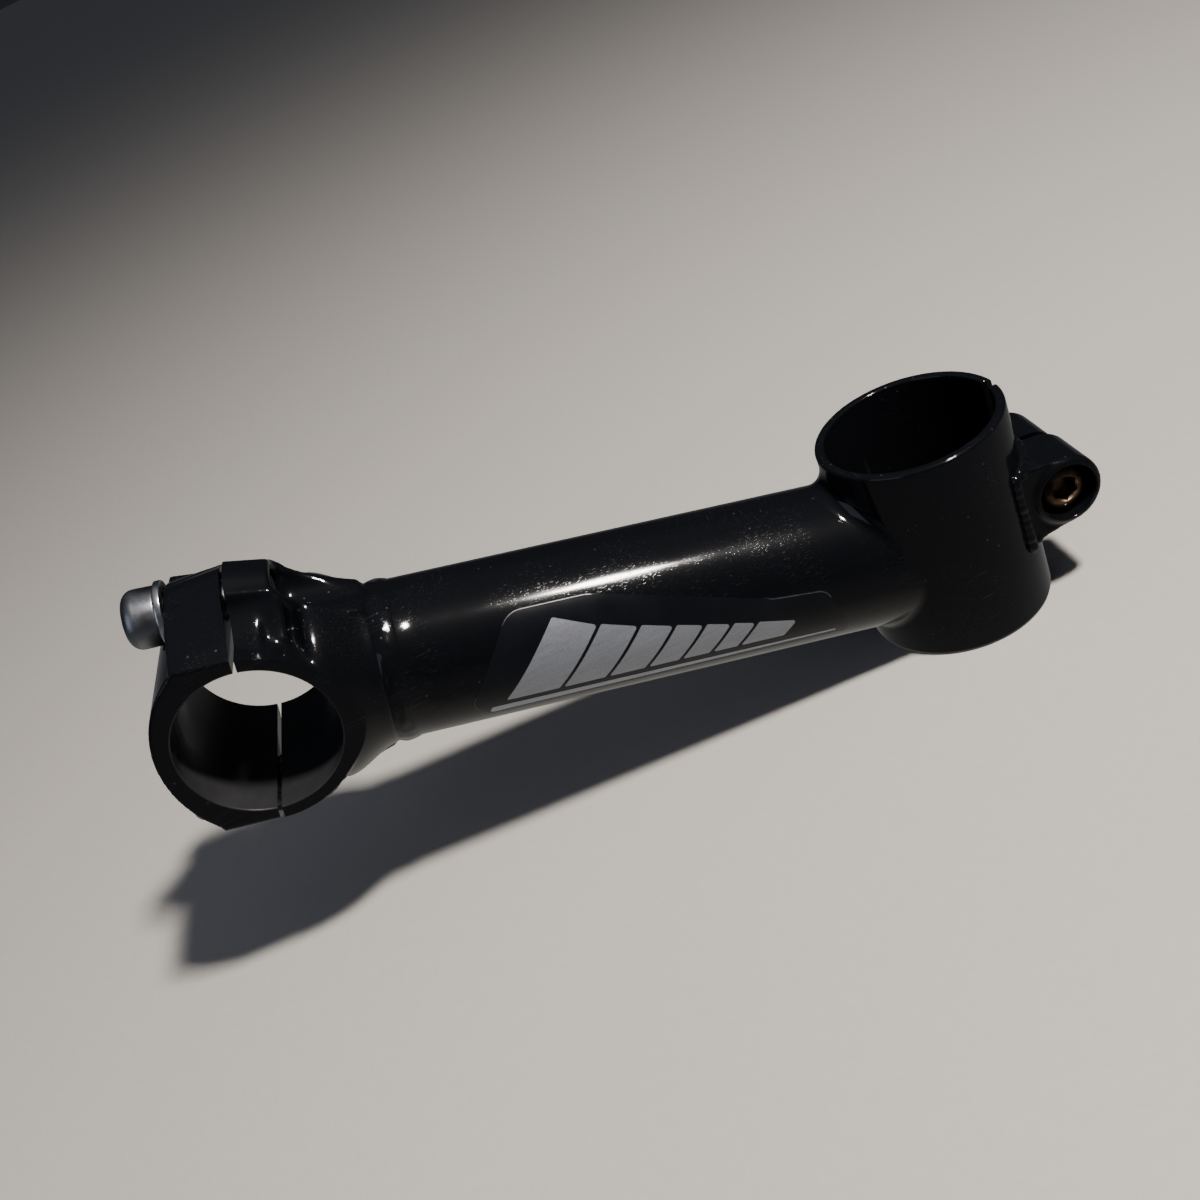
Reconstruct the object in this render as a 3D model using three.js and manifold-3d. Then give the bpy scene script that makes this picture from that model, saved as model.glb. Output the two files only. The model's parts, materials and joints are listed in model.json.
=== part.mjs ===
// A welded handlebar stem with a bolted faceplate and a pinch bolt behind its steerer clamp.
// Millimetres, +Z up. The origin is on the steerer's axis, level with the bottom of its clamp.
// +X points forwards, to the handlebar, and +Y to the rider's left.
//
// The bar clamp's pieces are drawn in the clamp's own frame and then turned by the stem's rise:
// x runs forwards along the extension, z square to it, and the origin is on the bar's axis.

import * as THREE from 'three';
import { mergeVertices } from 'three/addons/utils/BufferGeometryUtils.js';
import Module from 'manifold-3d';

const wasm = await Module();
wasm.setup();

// ---------------------------------------------------------------- driving dimensions

const STEM_LENGTH = 120;             // steerer axis to bar axis, along the extension
const STEM_RISE = 15;                // degrees, the extension's climb
const GAP = 0.3;                     // between pieces that touch

const STEERER_DIAMETER = 28.6;       // 1-1/8 inch steerer
const STEERER_CLAMP_WALL = 1.7;
const STEERER_CLAMP_HEIGHT = 37.7;
const STEERER_RIM_CHAMFER = 0.5;
const CLAMP_SLOT_WIDTH = 2.4;

const EXTENSION_DIAMETER = 26.7;
const EXTENSION_WALL = 1.6;
const EXTENSION_LIFT = 14.3;         // where the extension's axis meets the steerer's axis
const STEERER_WELD_LEG = 2.6;        // along the extension
const STEERER_WELD_SPREAD = 1.4;     // away from the extension, over the clamp
const STEERER_WELD_FACE = 0.32;      // the fillet's hollow face: its middle, as a share of both
const STEERER_WELD_BED = 0.05;       // between the bead's root and its seat
const CRADLE_WELD_WIDTH = 2.6;
const CRADLE_WELD_CROWN = 0.45;
const CRADLE_WELD_SLOPE = 0.3;       // the share of the bead's width on either side of its crown

const BAR_DIAMETER = 26;
const BAR_CLAMP_WIDTH = 30.6;
const BAR_CLAMP_BACK_WALL = 2.2;
const FACEPLATE_GAP = 1.2;           // between the faceplate and the cradle
const FACEPLATE_WALL = 3;
const FACEPLATE_CROWN_EASE = 4;      // how much flatter than round the faceplate's front is
const LUG_FRONT = 9.5;               // the bolts' seats, ahead of the bar's axis
const LUG_BACK = 7.3;                // the bosses' backs, behind the bar's axis
const LUG_OVER_BOLT = 5.8;           // the lugs' tops at the split, beyond the bolts' axes
const LUG_SLOPE = 0.17;              // how fast the lugs' tops drop away from the split
const LUG_WIDTH = 11;                // across the lugs' tops
const LUG_ROUNDING = 2;              // the lugs' tops, above their corners
const SHOULDER_OVER_BAR = 2.2;       // where the clamp's sides start to taper
const CRADLE_LIP_DEPTH = 5;          // the cradle's full-width lips, behind the bar's axis
const NECK_BEHIND_BAR = 8;           // the neck's weld, behind the bar
const NECK_FLARE = 3.4;              // how much the neck's radius grows towards the bar
const NECK_FLARE_LENGTH = 10;
const NECK_WALL = 2;
const CRADLE_FLOOR = 3.4;            // between the bar and the neck's hollow
const WAIST_LAP = 2;                 // how far the waist's foot stands inside the neck

const FACEPLATE_BOLT_DIAMETER = 6;   // M6 cap head
const FACEPLATE_BOLT_HEAD = 9.8;
const FACEPLATE_BOLT_HEAD_HEIGHT = 5.2;
const FACEPLATE_BOLT_LENGTH = 18;
const BOLT_HOLE_TO_BAR = 1.15;       // the metal between each bolt's hole and the bar
const FACEPLATE_WASHER_MARGIN = 0.5; // round the bolt's head
const FACEPLATE_WASHER_THICKNESS = 0.9;
const BOLT_TROUGH_RADIUS = 4.7;      // the scoop behind each boss

const PINCH_BOLT_DIAMETER = 5;       // M5 cap head
const PINCH_BOLT_HEAD = 8.5;
const PINCH_BOLT_HEAD_HEIGHT = 5;
const PINCH_BOLT_LENGTH = 16;
const PINCH_BOLT_HEIGHT = 19;        // above the clamp's bottom
const PINCH_BOLT_BEHIND_CLAMP = 3.1;
const PINCH_WASHER_MARGIN = 0.25;    // round the bolt's head
const PINCH_WASHER_THICKNESS = 0.8;
const EAR_LEFT_WALL = 1.3;           // round the counterbore
const EAR_RIGHT_WALL = 3;            // round the thread
const EAR_LEFT_REACH = 12;           // the left ear's outer face, from the middle
const EAR_RIGHT_REACH = 12;
const EAR_GAP = 2.6;
const COUNTERBORE_MARGIN = 0.4;      // round the washer
const COUNTERBORE_DEPTH = 7.8;
const EAR_WELD_SIZE = 1.5;

const SOCKET_FACTOR = 0.82;          // a hexagon socket's width over its bolt's diameter
const SOCKET_DEPTH_FACTOR = 0.5;
const HEAD_ROUNDING = 1.8;
const SHANK_CHAMFER = 0.7;
const WASHER_CHAMFER = 0.2;
const HOLE_CLEARANCE = 0.35;         // around each bolt

const DECAL_START = 5;               // ahead of the steerer clamp's wall
const DECAL_END = 12;                // behind the neck's weld
const DECAL_LOW = -34;               // degrees around the extension, below its side
const DECAL_HIGH = 46;               // degrees above it
const DECAL_THICKNESS = 0.15;

const ROUND_STEPS = 64;              // segments round a large circle
const SMALL_STEPS = 32;              // segments round a bolt
const FAR = 200;                     // longer than anything cut
const PAST = 1;                      // how far a blank or a cutter runs past the face it makes

// ---------------------------------------------------------------- worked out from them

const rise = THREE.MathUtils.degToRad(STEM_RISE);
const steererRadius = STEERER_DIAMETER / 2;
const clampRadius = steererRadius + STEERER_CLAMP_WALL;
const extensionRadius = EXTENSION_DIAMETER / 2;
const barRadius = BAR_DIAMETER / 2;
const faceplateFront = barRadius + FACEPLATE_WALL;
const halfWidth = BAR_CLAMP_WIDTH / 2;
const splitHalf = FACEPLATE_GAP / 2;
const crownRadius = faceplateFront + FACEPLATE_CROWN_EASE;
const faceplateHoleRadius = FACEPLATE_BOLT_DIAMETER / 2 + HOLE_CLEARANCE;
const faceplateBoltOffset = barRadius + BOLT_HOLE_TO_BAR + faceplateHoleRadius;
const faceplateWasherRadius = FACEPLATE_BOLT_HEAD / 2 + FACEPLATE_WASHER_MARGIN;
const lugHeight = faceplateBoltOffset + LUG_OVER_BOLT;
const shoulderHeight = barRadius + SHOULDER_OVER_BAR;
const neckLength = barRadius + NECK_BEHIND_BAR;
const pinchReach = clampRadius + PINCH_BOLT_BEHIND_CLAMP;
const pinchHoleRadius = PINCH_BOLT_DIAMETER / 2 + HOLE_CLEARANCE;
const pinchWasherRadius = PINCH_BOLT_HEAD / 2 + PINCH_WASHER_MARGIN;
const counterboreRadius = pinchWasherRadius + COUNTERBORE_MARGIN;
const earLeftRadius = counterboreRadius + EAR_LEFT_WALL;
const earRightRadius = PINCH_BOLT_DIAMETER / 2 + EAR_RIGHT_WALL;
const counterboreFloor = EAR_LEFT_REACH - COUNTERBORE_DEPTH;
const decalInnerRadius = extensionRadius + GAP;
const decalRear = clampRadius + DECAL_START;
const decalFront = STEM_LENGTH - neckLength - DECAL_END;

// ---------------------------------------------------------------- materials

function finish(name, color, roughness, metalness) {
  const material = new THREE.MeshStandardMaterial({ color, roughness, metalness });
  material.name = name;
  return material;
}

const materials = {
  paint: () => finish('gloss_black_paint', 0x08090b, 0.12, 0.0),
  bolt: () => finish('dark_bolt_steel', 0x55585c, 0.34, 1.0),
  washer: () => finish('bright_washer_steel', 0xc4c6c8, 0.22, 1.0),
  pinchBolt: () => finish('weathered_bolt_steel', 0x6b5a48, 0.5, 0.8),
  decal: () => finish('silver_decal', 0xb9bbbf, 0.35, 0.6),
};

// ---------------------------------------------------------------- solids

// A closed geometry becomes a solid, once its shared corners are merged.
function solid(geometry, placing = new THREE.Matrix4()) {
  const bare = geometry.clone().applyMatrix4(placing);
  bare.deleteAttribute('normal');
  bare.deleteAttribute('uv');
  const merged = mergeVertices(bare, 1e-4);
  const corners = merged.index.array;
  const kept = [];
  for (let i = 0; i < corners.length; i += 3) {
    const [a, b, c] = [corners[i], corners[i + 1], corners[i + 2]];
    if (a !== b && b !== c && c !== a) kept.push(a, b, c);
  }
  const vertProperties = new Float32Array(merged.attributes.position.array);
  const mesh = new wasm.Mesh({ numProp: 3, vertProperties, triVerts: new Uint32Array(kept) });
  return new wasm.Manifold(mesh);
}

function toGeometry(manifold) {
  const mesh = manifold.getMesh();
  const geometry = new THREE.BufferGeometry();
  geometry.setAttribute('position', new THREE.BufferAttribute(mesh.vertProperties, 3));
  geometry.setIndex(new THREE.BufferAttribute(mesh.triVerts, 1));
  const faceted = geometry.toNonIndexed();
  faceted.computeVertexNormals();
  return faceted;
}

const alongX = new THREE.Matrix4().makeRotationZ(-Math.PI / 2);   // turns +Y to +X
const alongZ = new THREE.Matrix4().makeRotationX(Math.PI / 2);    // turns +Y to +Z
const alongY = new THREE.Matrix4();

function shifted(x, y, z, turn = new THREE.Matrix4()) {
  return new THREE.Matrix4().makeTranslation(x, y, z).multiply(turn);
}

// A cylinder from one end to the other along an axis, with its middle line through (x, y, z).
function rod(radius, from, to, axis, [x, y, z] = [0, 0, 0], steps = ROUND_STEPS) {
  const geometry = new THREE.CylinderGeometry(radius, radius, to - from, steps);
  const centred = new THREE.Matrix4().makeTranslation(0, (from + to) / 2, 0);
  return solid(geometry, shifted(x, y, z, axis).multiply(centred));
}

// A turned solid: the profile's points are [radius, distance along the axis].
function turned(profile, axis, [x, y, z] = [0, 0, 0], steps = ROUND_STEPS) {
  const points = profile.map(([radius, along]) => new THREE.Vector2(radius, along));
  return solid(new THREE.LatheGeometry(points, steps), shifted(x, y, z, axis));
}

function block([x0, y0, z0], [x1, y1, z1]) {
  const geometry = new THREE.BoxGeometry(x1 - x0, y1 - y0, z1 - z0);
  return solid(geometry, shifted((x0 + x1) / 2, (y0 + y1) / 2, (z0 + z1) / 2));
}

// An outline drawn in x and z, pushed from y0 to y1.
function sidePlate(shape, y0, y1, steps = 12) {
  const geometry = new THREE.ExtrudeGeometry(shape, {
    depth: y1 - y0, bevelEnabled: false, curveSegments: steps,
  });
  return solid(geometry, shifted(0, y1, 0, alongZ));
}

// An outline drawn in y and z, pushed from x0 to x1.
function frontPlate(shape, x0, x1, steps = 12) {
  const geometry = new THREE.ExtrudeGeometry(shape, {
    depth: x1 - x0, bevelEnabled: false, curveSegments: steps,
  });
  const basis = new THREE.Matrix4().makeBasis(
    new THREE.Vector3(0, 1, 0), new THREE.Vector3(0, 0, 1), new THREE.Vector3(1, 0, 0));
  return solid(geometry, shifted(x0, 0, 0, basis));
}

// A ring with its sharp outer corners cut back.
function ring(inner, outer, from, to, axis, centre, steps, chamfer = 0) {
  const profile = [
    [inner, from], [outer - chamfer, from], [outer, from + chamfer],
    [outer, to - chamfer], [outer - chamfer, to], [inner, to], [inner, from],
  ];
  return turned(profile, axis, centre, steps);
}

const root = new THREE.Group();
root.name = 'handlebar_stem';

function add(name, manifold, material, parent = root) {
  const mesh = new THREE.Mesh(toGeometry(manifold), material);
  mesh.name = name;
  parent.add(mesh);
  return mesh;
}

// The extension's frame: x along its axis from the steerer's axis.
const extensionFrame = new THREE.Group();
extensionFrame.position.set(0, 0, EXTENSION_LIFT);
extensionFrame.rotation.y = -rise;
root.add(extensionFrame);

// The bar clamp's frame: the same directions, on the bar's axis.
const clampFrame = new THREE.Group();
clampFrame.position.set(STEM_LENGTH, 0, 0);
extensionFrame.add(clampFrame);

// The steerer clamp's outside, seen from the extension's frame.
function steererCutter(radius) {
  const cutter = rod(radius, -FAR, FAR, alongZ);
  const level = new THREE.Matrix4().makeRotationY(rise);
  const placing = level.multiply(new THREE.Matrix4().makeTranslation(0, 0, -EXTENSION_LIFT));
  return cutter.transform(placing.toArray());
}

// ---------------------------------------------------------------- steerer clamp

function steererClampTube() {
  const profile = [
    [steererRadius + STEERER_RIM_CHAMFER, 0],
    [clampRadius - STEERER_RIM_CHAMFER, 0],
    [clampRadius, STEERER_RIM_CHAMFER],
    [clampRadius, STEERER_CLAMP_HEIGHT - STEERER_RIM_CHAMFER],
    [clampRadius - STEERER_RIM_CHAMFER, STEERER_CLAMP_HEIGHT],
    [steererRadius + STEERER_RIM_CHAMFER, STEERER_CLAMP_HEIGHT],
    [steererRadius, STEERER_CLAMP_HEIGHT - STEERER_RIM_CHAMFER],
    [steererRadius, STEERER_RIM_CHAMFER],
    [steererRadius + STEERER_RIM_CHAMFER, 0],
  ];
  const tube = turned(profile, alongZ, [0, 0, 0], 2 * SMALL_STEPS);
  const slotHalf = CLAMP_SLOT_WIDTH / 2;
  return tube.subtract(block([-FAR, -slotHalf, -FAR], [0, slotHalf, FAR]))
    .subtract(pinchHole())
    .subtract(pinchCounterbore());
}

// One ear: a boss round the pinch bolt, with flanks that run tangent to it into the clamp.
function pinchEar(side, grow = 0) {
  const radius = (side > 0 ? earLeftRadius : earRightRadius) + grow;
  const inner = side * EAR_GAP / 2;
  const outer = side * ((side > 0 ? EAR_LEFT_REACH : EAR_RIGHT_REACH) + grow);
  const [y0, y1] = [Math.min(inner, outer), Math.max(inner, outer)];
  const outline = new THREE.Shape();
  outline.moveTo(0, PINCH_BOLT_HEIGHT - radius);
  outline.lineTo(0, PINCH_BOLT_HEIGHT + radius);
  outline.lineTo(-pinchReach, PINCH_BOLT_HEIGHT + radius);
  outline.absarc(-pinchReach, PINCH_BOLT_HEIGHT, radius, Math.PI / 2, 1.5 * Math.PI, false);
  outline.closePath();
  return sidePlate(outline, y0, y1, SMALL_STEPS / 2);
}

function pinchBore(radius, from, to) {
  return rod(radius, from, to, alongY, [-pinchReach, 0, PINCH_BOLT_HEIGHT], SMALL_STEPS);
}

// Both cuts reach a little way into the clamp's wall, because the bolt runs close behind it.
const pinchHole = () => pinchBore(pinchHoleRadius, -FAR, FAR);
const pinchCounterbore = () => pinchBore(counterboreRadius, counterboreFloor, FAR);

function pinchEarPiece(side) {
  const clampOutside = rod(clampRadius + GAP, -FAR, FAR, alongZ);
  const ear = pinchEar(side).subtract(clampOutside).subtract(pinchHole());
  return side < 0 ? ear : ear.subtract(pinchCounterbore());
}

// The bead round an ear's root, open towards the slot.
function earWeld(side) {
  const zone = rod(clampRadius + GAP + EAR_WELD_SIZE, -FAR, FAR, alongZ)
    .subtract(rod(clampRadius + GAP, -FAR, FAR, alongZ));
  const bead = pinchEar(side, GAP + EAR_WELD_SIZE).intersect(zone);
  return bead.subtract(pinchEar(side, GAP));
}

add('steerer_clamp_tube', steererClampTube(), materials.paint());
add('pinch_ear_left', pinchEarPiece(1), materials.paint());
add('pinch_ear_right', pinchEarPiece(-1), materials.paint());
add('pinch_ear_weld_left', earWeld(1), materials.paint());
add('pinch_ear_weld_right', earWeld(-1), materials.paint());

// ---------------------------------------------------------------- extension and its welds

const neckBack = STEM_LENGTH - neckLength;
const extensionEnd = neckBack - CRADLE_WELD_WIDTH;

function extensionTube() {
  const inner = extensionRadius - EXTENSION_WALL;
  const tube = ring(inner, extensionRadius, 0, extensionEnd, alongX);
  return tube.subtract(steererCutter(clampRadius + GAP));
}

// How far along the extension its generator at this angle and radius meets the clamp. One that
// passes the clamp's side, as it can where the extension is nearly as wide, ends beside its middle.
function meetsClamp(angle, radius, clamp) {
  const across = radius * Math.cos(angle);
  const reach = Math.sqrt(Math.max(0, clamp * clamp - across * across));
  return (reach + radius * Math.sin(angle) * Math.sin(rise)) / Math.cos(rise);
}

// The fillet bead between the extension and the steerer clamp: one section per step round the
// extension, each with a corner in the joint, a toe on the extension and a toe on the clamp.
function steererWeld() {
  const base = extensionRadius + GAP;
  const clamp = clampRadius + GAP;
  const sections = [];
  for (let i = 0; i < ROUND_STEPS; i += 1) {
    const angle = i / ROUND_STEPS * 2 * Math.PI;
    const point = (radius, along) => [along, radius * Math.cos(angle), radius * Math.sin(angle)];
    const top = base + STEERER_WELD_SPREAD;
    const corner = meetsClamp(angle, base, clamp);
    const mid = base + STEERER_WELD_SPREAD * STEERER_WELD_FACE;
    sections.push([
      point(base, corner + STEERER_WELD_BED),
      point(top, meetsClamp(angle, top, clamp) + STEERER_WELD_BED),
      point(mid, meetsClamp(angle, mid, clamp) + STEERER_WELD_LEG * STEERER_WELD_FACE),
      point(base, corner + STEERER_WELD_LEG),
    ]);
  }
  const sides = sections[0].length;
  const positions = sections.flat(2);
  const index = [];
  for (let i = 0; i < ROUND_STEPS; i += 1) {
    const next = (i + 1) % ROUND_STEPS;
    for (let k = 0; k < sides; k += 1) {
      const follow = (k + 1) % sides;
      const [a, b] = [i * sides + k, i * sides + follow];
      const [c, d] = [next * sides + follow, next * sides + k];
      index.push(a, c, b, a, d, c);
    }
  }
  const geometry = new THREE.BufferGeometry();
  geometry.setAttribute('position', new THREE.Float32BufferAttribute(positions, 3));
  geometry.setIndex(index);
  return solid(geometry);
}

// The butt weld between the extension and the neck: a slightly crowned ring.
function cradleWeld() {
  const [from, to] = [extensionEnd + GAP, neckBack - GAP];
  const slope = (to - from) * CRADLE_WELD_SLOPE;
  const inner = extensionRadius - EXTENSION_WALL;
  const crown = extensionRadius + CRADLE_WELD_CROWN;
  const profile = [
    [inner, from], [extensionRadius, from],
    [crown, from + slope], [crown, to - slope],
    [extensionRadius, to], [inner, to], [inner, from],
  ];
  return turned(profile, alongX);
}

add('extension_tube', extensionTube(), materials.paint(), extensionFrame);
add('extension_weld_rear', steererWeld(), materials.paint(), extensionFrame);
add('extension_weld_front', cradleWeld(), materials.paint(), extensionFrame);

// ---------------------------------------------------------------- bar clamp

// The clamp from the front: straight sides beside the bar, tapering to the lugs.
function clampFrontShape() {
  const lugHalf = LUG_WIDTH / 2;
  const cornerHeight = lugHeight - LUG_ROUNDING;
  const shape = new THREE.Shape();
  shape.moveTo(halfWidth, -shoulderHeight);
  shape.lineTo(halfWidth, shoulderHeight);
  shape.lineTo(lugHalf, cornerHeight);
  shape.quadraticCurveTo(lugHalf * 0.5, lugHeight, 0, lugHeight);
  shape.quadraticCurveTo(-lugHalf * 0.5, lugHeight, -lugHalf, cornerHeight);
  shape.lineTo(-halfWidth, shoulderHeight);
  shape.lineTo(-halfWidth, -shoulderHeight);
  shape.lineTo(-lugHalf, -cornerHeight);
  shape.quadraticCurveTo(-lugHalf * 0.5, -lugHeight, 0, -lugHeight);
  shape.quadraticCurveTo(lugHalf * 0.5, -lugHeight, lugHalf, -cornerHeight);
  shape.closePath();
  return shape;
}

// The front outline pushed from the split to `reach`, its lugs dropping as they leave the split.
function clampBlank(reach) {
  const [x0, x1] = [Math.min(0, reach), Math.max(0, reach)];
  return frontPlate(clampFrontShape(), x0, x1, 6).warp((corner) => {
    const beyond = Math.max(0, Math.abs(corner[2]) - shoulderHeight);
    const share = beyond / (lugHeight - shoulderHeight);
    corner[2] -= Math.sign(corner[2]) * share * LUG_SLOPE * Math.abs(corner[0]);
  });
}

// The faceplate from the side: a shallow crown between the two flat bolt seats.
function faceplateSideShape() {
  const crownCentre = faceplateFront - crownRadius;
  const half = Math.acos((LUG_FRONT - crownCentre) / crownRadius);
  const shape = new THREE.Shape();
  shape.moveTo(splitHalf, -lugHeight - PAST);
  shape.lineTo(LUG_FRONT, -lugHeight - PAST);
  shape.absarc(crownCentre, 0, crownRadius, -half, half, false);
  shape.lineTo(LUG_FRONT, lugHeight + PAST);
  shape.lineTo(splitHalf, lugHeight + PAST);
  shape.closePath();
  return shape;
}

// The cradle from the side: its full-width lips run into the round wall behind the bar.
function cradleSideShape() {
  const backRadius = barRadius + BAR_CLAMP_BACK_WALL;
  const start = Math.PI - Math.acos(CRADLE_LIP_DEPTH / backRadius);
  const shape = new THREE.Shape();
  shape.moveTo(-splitHalf, lugHeight + PAST);
  shape.lineTo(-CRADLE_LIP_DEPTH + PAST, lugHeight + PAST);
  shape.absarc(0, 0, backRadius, start, 2 * Math.PI - start, false);
  shape.lineTo(-CRADLE_LIP_DEPTH + PAST, -lugHeight - PAST);
  shape.lineTo(-splitHalf, -lugHeight - PAST);
  shape.closePath();
  return shape;
}

const barBore = () => rod(barRadius, -FAR, FAR, alongY);

function boltHoles(radius, from = -FAR, to = FAR) {
  return [1, -1]
    .map((side) => rod(radius, from, to, alongX, [0, 0, side * faceplateBoltOffset], SMALL_STEPS))
    .reduce((joined, hole) => joined.add(hole));
}

function faceplate() {
  const plate = sidePlate(faceplateSideShape(), -halfWidth, halfWidth, 16)
    .intersect(clampBlank(faceplateFront + PAST));
  const seats = boltHoles(faceplateWasherRadius + HOLE_CLEARANCE, LUG_FRONT, FAR);
  const holes = boltHoles(faceplateHoleRadius);
  return plate.subtract(barBore()).subtract(seats).subtract(holes);
}

// The neck, from its weld to the clamp: it flares as it nears the bar.
function neck() {
  const flare = new THREE.CubicBezierCurve(
    new THREE.Vector2(extensionRadius, -neckLength),
    new THREE.Vector2(extensionRadius, -neckLength + NECK_FLARE_LENGTH / 2),
    new THREE.Vector2(extensionRadius + NECK_FLARE / 2, -neckLength + NECK_FLARE_LENGTH * 0.7),
    new THREE.Vector2(extensionRadius + NECK_FLARE, -neckLength + NECK_FLARE_LENGTH));
  const profile = [
    [0, -neckLength], ...flare.getPoints(6).map((point) => [point.x, point.y]),
    [0, -neckLength + NECK_FLARE_LENGTH],
  ];
  return turned(profile, alongX);
}

// Seen from the side, the metal that joins each boss to the neck.
function cradleWaistShape() {
  const backHeight = lugHeight - LUG_ROUNDING - LUG_SLOPE * LUG_BACK;
  const foot = -neckLength + WAIST_LAP;
  const shape = new THREE.Shape();
  shape.moveTo(-splitHalf, lugHeight - LUG_ROUNDING);
  shape.lineTo(-LUG_BACK, backHeight);
  shape.quadraticCurveTo(
    -LUG_BACK - WAIST_LAP, extensionRadius + WAIST_LAP, foot, extensionRadius);
  shape.lineTo(foot, -extensionRadius);
  shape.quadraticCurveTo(
    -LUG_BACK - WAIST_LAP, -extensionRadius - WAIST_LAP, -LUG_BACK, -backHeight);
  shape.lineTo(-splitHalf, -lugHeight + LUG_ROUNDING);
  shape.closePath();
  return shape;
}

// The bosses that take the bolts' threads, round their bolts.
function threadBosses() {
  const radius = lugHeight - faceplateBoltOffset;
  return boltHoles(radius, -LUG_BACK, -splitHalf);
}

function barClampCradle() {
  const clamp = sidePlate(cradleSideShape(), -halfWidth, halfWidth, 16)
    .intersect(clampBlank(-barRadius - BAR_CLAMP_BACK_WALL - PAST));
  const waist = sidePlate(cradleWaistShape(), -LUG_WIDTH / 2, LUG_WIDTH / 2, 8);
  const hollow = rod(extensionRadius - NECK_WALL, -FAR, -barRadius - CRADLE_FLOOR, alongX);
  const holes = boltHoles(faceplateHoleRadius);
  const troughs = boltHoles(BOLT_TROUGH_RADIUS, -FAR, -LUG_BACK);
  return clamp.add(neck()).add(waist).subtract(troughs).add(threadBosses())
    .subtract(barBore()).subtract(hollow).subtract(holes);
}

add('bar_clamp_cradle', barClampCradle(), materials.paint(), clampFrame);
add('faceplate', faceplate(), materials.paint(), clampFrame);

// ---------------------------------------------------------------- bolts and washers

// A cap-head bolt along an axis: its head sits on `seat`, and its shank runs back from there.
function capBolt(diameter, headDiameter, headHeight, length, seat, axis, centre) {
  const shank = diameter / 2;
  const head = headDiameter / 2;
  const top = seat + headHeight;
  const tip = seat - length;
  const eased = HEAD_ROUNDING * (1 - Math.SQRT1_2);
  const profile = [
    [0, tip], [shank - SHANK_CHAMFER, tip], [shank, tip + SHANK_CHAMFER], [shank, seat],
    [head, seat],
    [head, top - HEAD_ROUNDING], [head - eased, top - eased],
    [head - HEAD_ROUNDING, top], [0, top],
  ];
  const socketRadius = diameter * SOCKET_FACTOR / 2 / Math.cos(Math.PI / 6);
  const floor = top - diameter * SOCKET_DEPTH_FACTOR;
  const socket = rod(socketRadius, floor, top + PAST, axis, centre, 6);
  return turned(profile, axis, centre, SMALL_STEPS).subtract(socket);
}

const faceplateWasherFace = LUG_FRONT + GAP + FACEPLATE_WASHER_THICKNESS;

for (const [name, side] of [['upper', 1], ['lower', -1]]) {
  const centre = [0, 0, side * faceplateBoltOffset];
  const washer = ring(
    faceplateHoleRadius, faceplateWasherRadius,
    LUG_FRONT + GAP, faceplateWasherFace, alongX, centre, SMALL_STEPS,
    WASHER_CHAMFER);
  const bolt = capBolt(
    FACEPLATE_BOLT_DIAMETER, FACEPLATE_BOLT_HEAD, FACEPLATE_BOLT_HEAD_HEIGHT,
    FACEPLATE_BOLT_LENGTH, faceplateWasherFace + GAP, alongX, centre);
  add(`faceplate_washer_${name}`, washer, materials.washer(), clampFrame);
  add(`faceplate_bolt_${name}`, bolt, materials.bolt(), clampFrame);
}

const pinchCentre = [-pinchReach, 0, PINCH_BOLT_HEIGHT];
const pinchWasherFace = counterboreFloor + GAP + PINCH_WASHER_THICKNESS;
const pinchWasher = ring(
  pinchHoleRadius, pinchWasherRadius,
  counterboreFloor + GAP, pinchWasherFace, alongY, pinchCentre, SMALL_STEPS,
  WASHER_CHAMFER);
const pinchBolt = capBolt(
  PINCH_BOLT_DIAMETER, PINCH_BOLT_HEAD, PINCH_BOLT_HEAD_HEIGHT, PINCH_BOLT_LENGTH,
  pinchWasherFace + GAP, alongY, pinchCentre);
add('pinch_washer', pinchWasher, materials.washer());
add('pinch_bolt', pinchBolt, materials.pinchBolt());

// ---------------------------------------------------------------- decals

// A thin patch that follows the tube, on the left side for side 1 and on the right for -1.
function decal(side) {
  const low = THREE.MathUtils.degToRad(DECAL_LOW);
  const high = THREE.MathUtils.degToRad(DECAL_HIGH);
  const [from, to] = side > 0 ? [low, high] : [Math.PI - high, Math.PI - low];
  const outer = decalInnerRadius + DECAL_THICKNESS;
  const shape = new THREE.Shape();
  shape.absarc(0, 0, outer, from, to, false);
  shape.absarc(0, 0, decalInnerRadius, to, from, true);
  shape.closePath();
  return frontPlate(shape, decalRear, decalFront, 10);
}

add('decal_left', decal(1), materials.decal(), extensionFrame);
add('decal_right', decal(-1), materials.decal(), extensionFrame);

export default root;
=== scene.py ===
"""A gloss black handlebar stem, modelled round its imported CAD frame.

Pieces are shaped on a bench in millimetres and then placed in the frame in metres.
There are three benches: the steerer's, with +Z up its axis; the extension's, with +X along it
from the steerer's axis; and the clamp's, which is the extension's moved to the bar's axis.
"""

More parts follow.
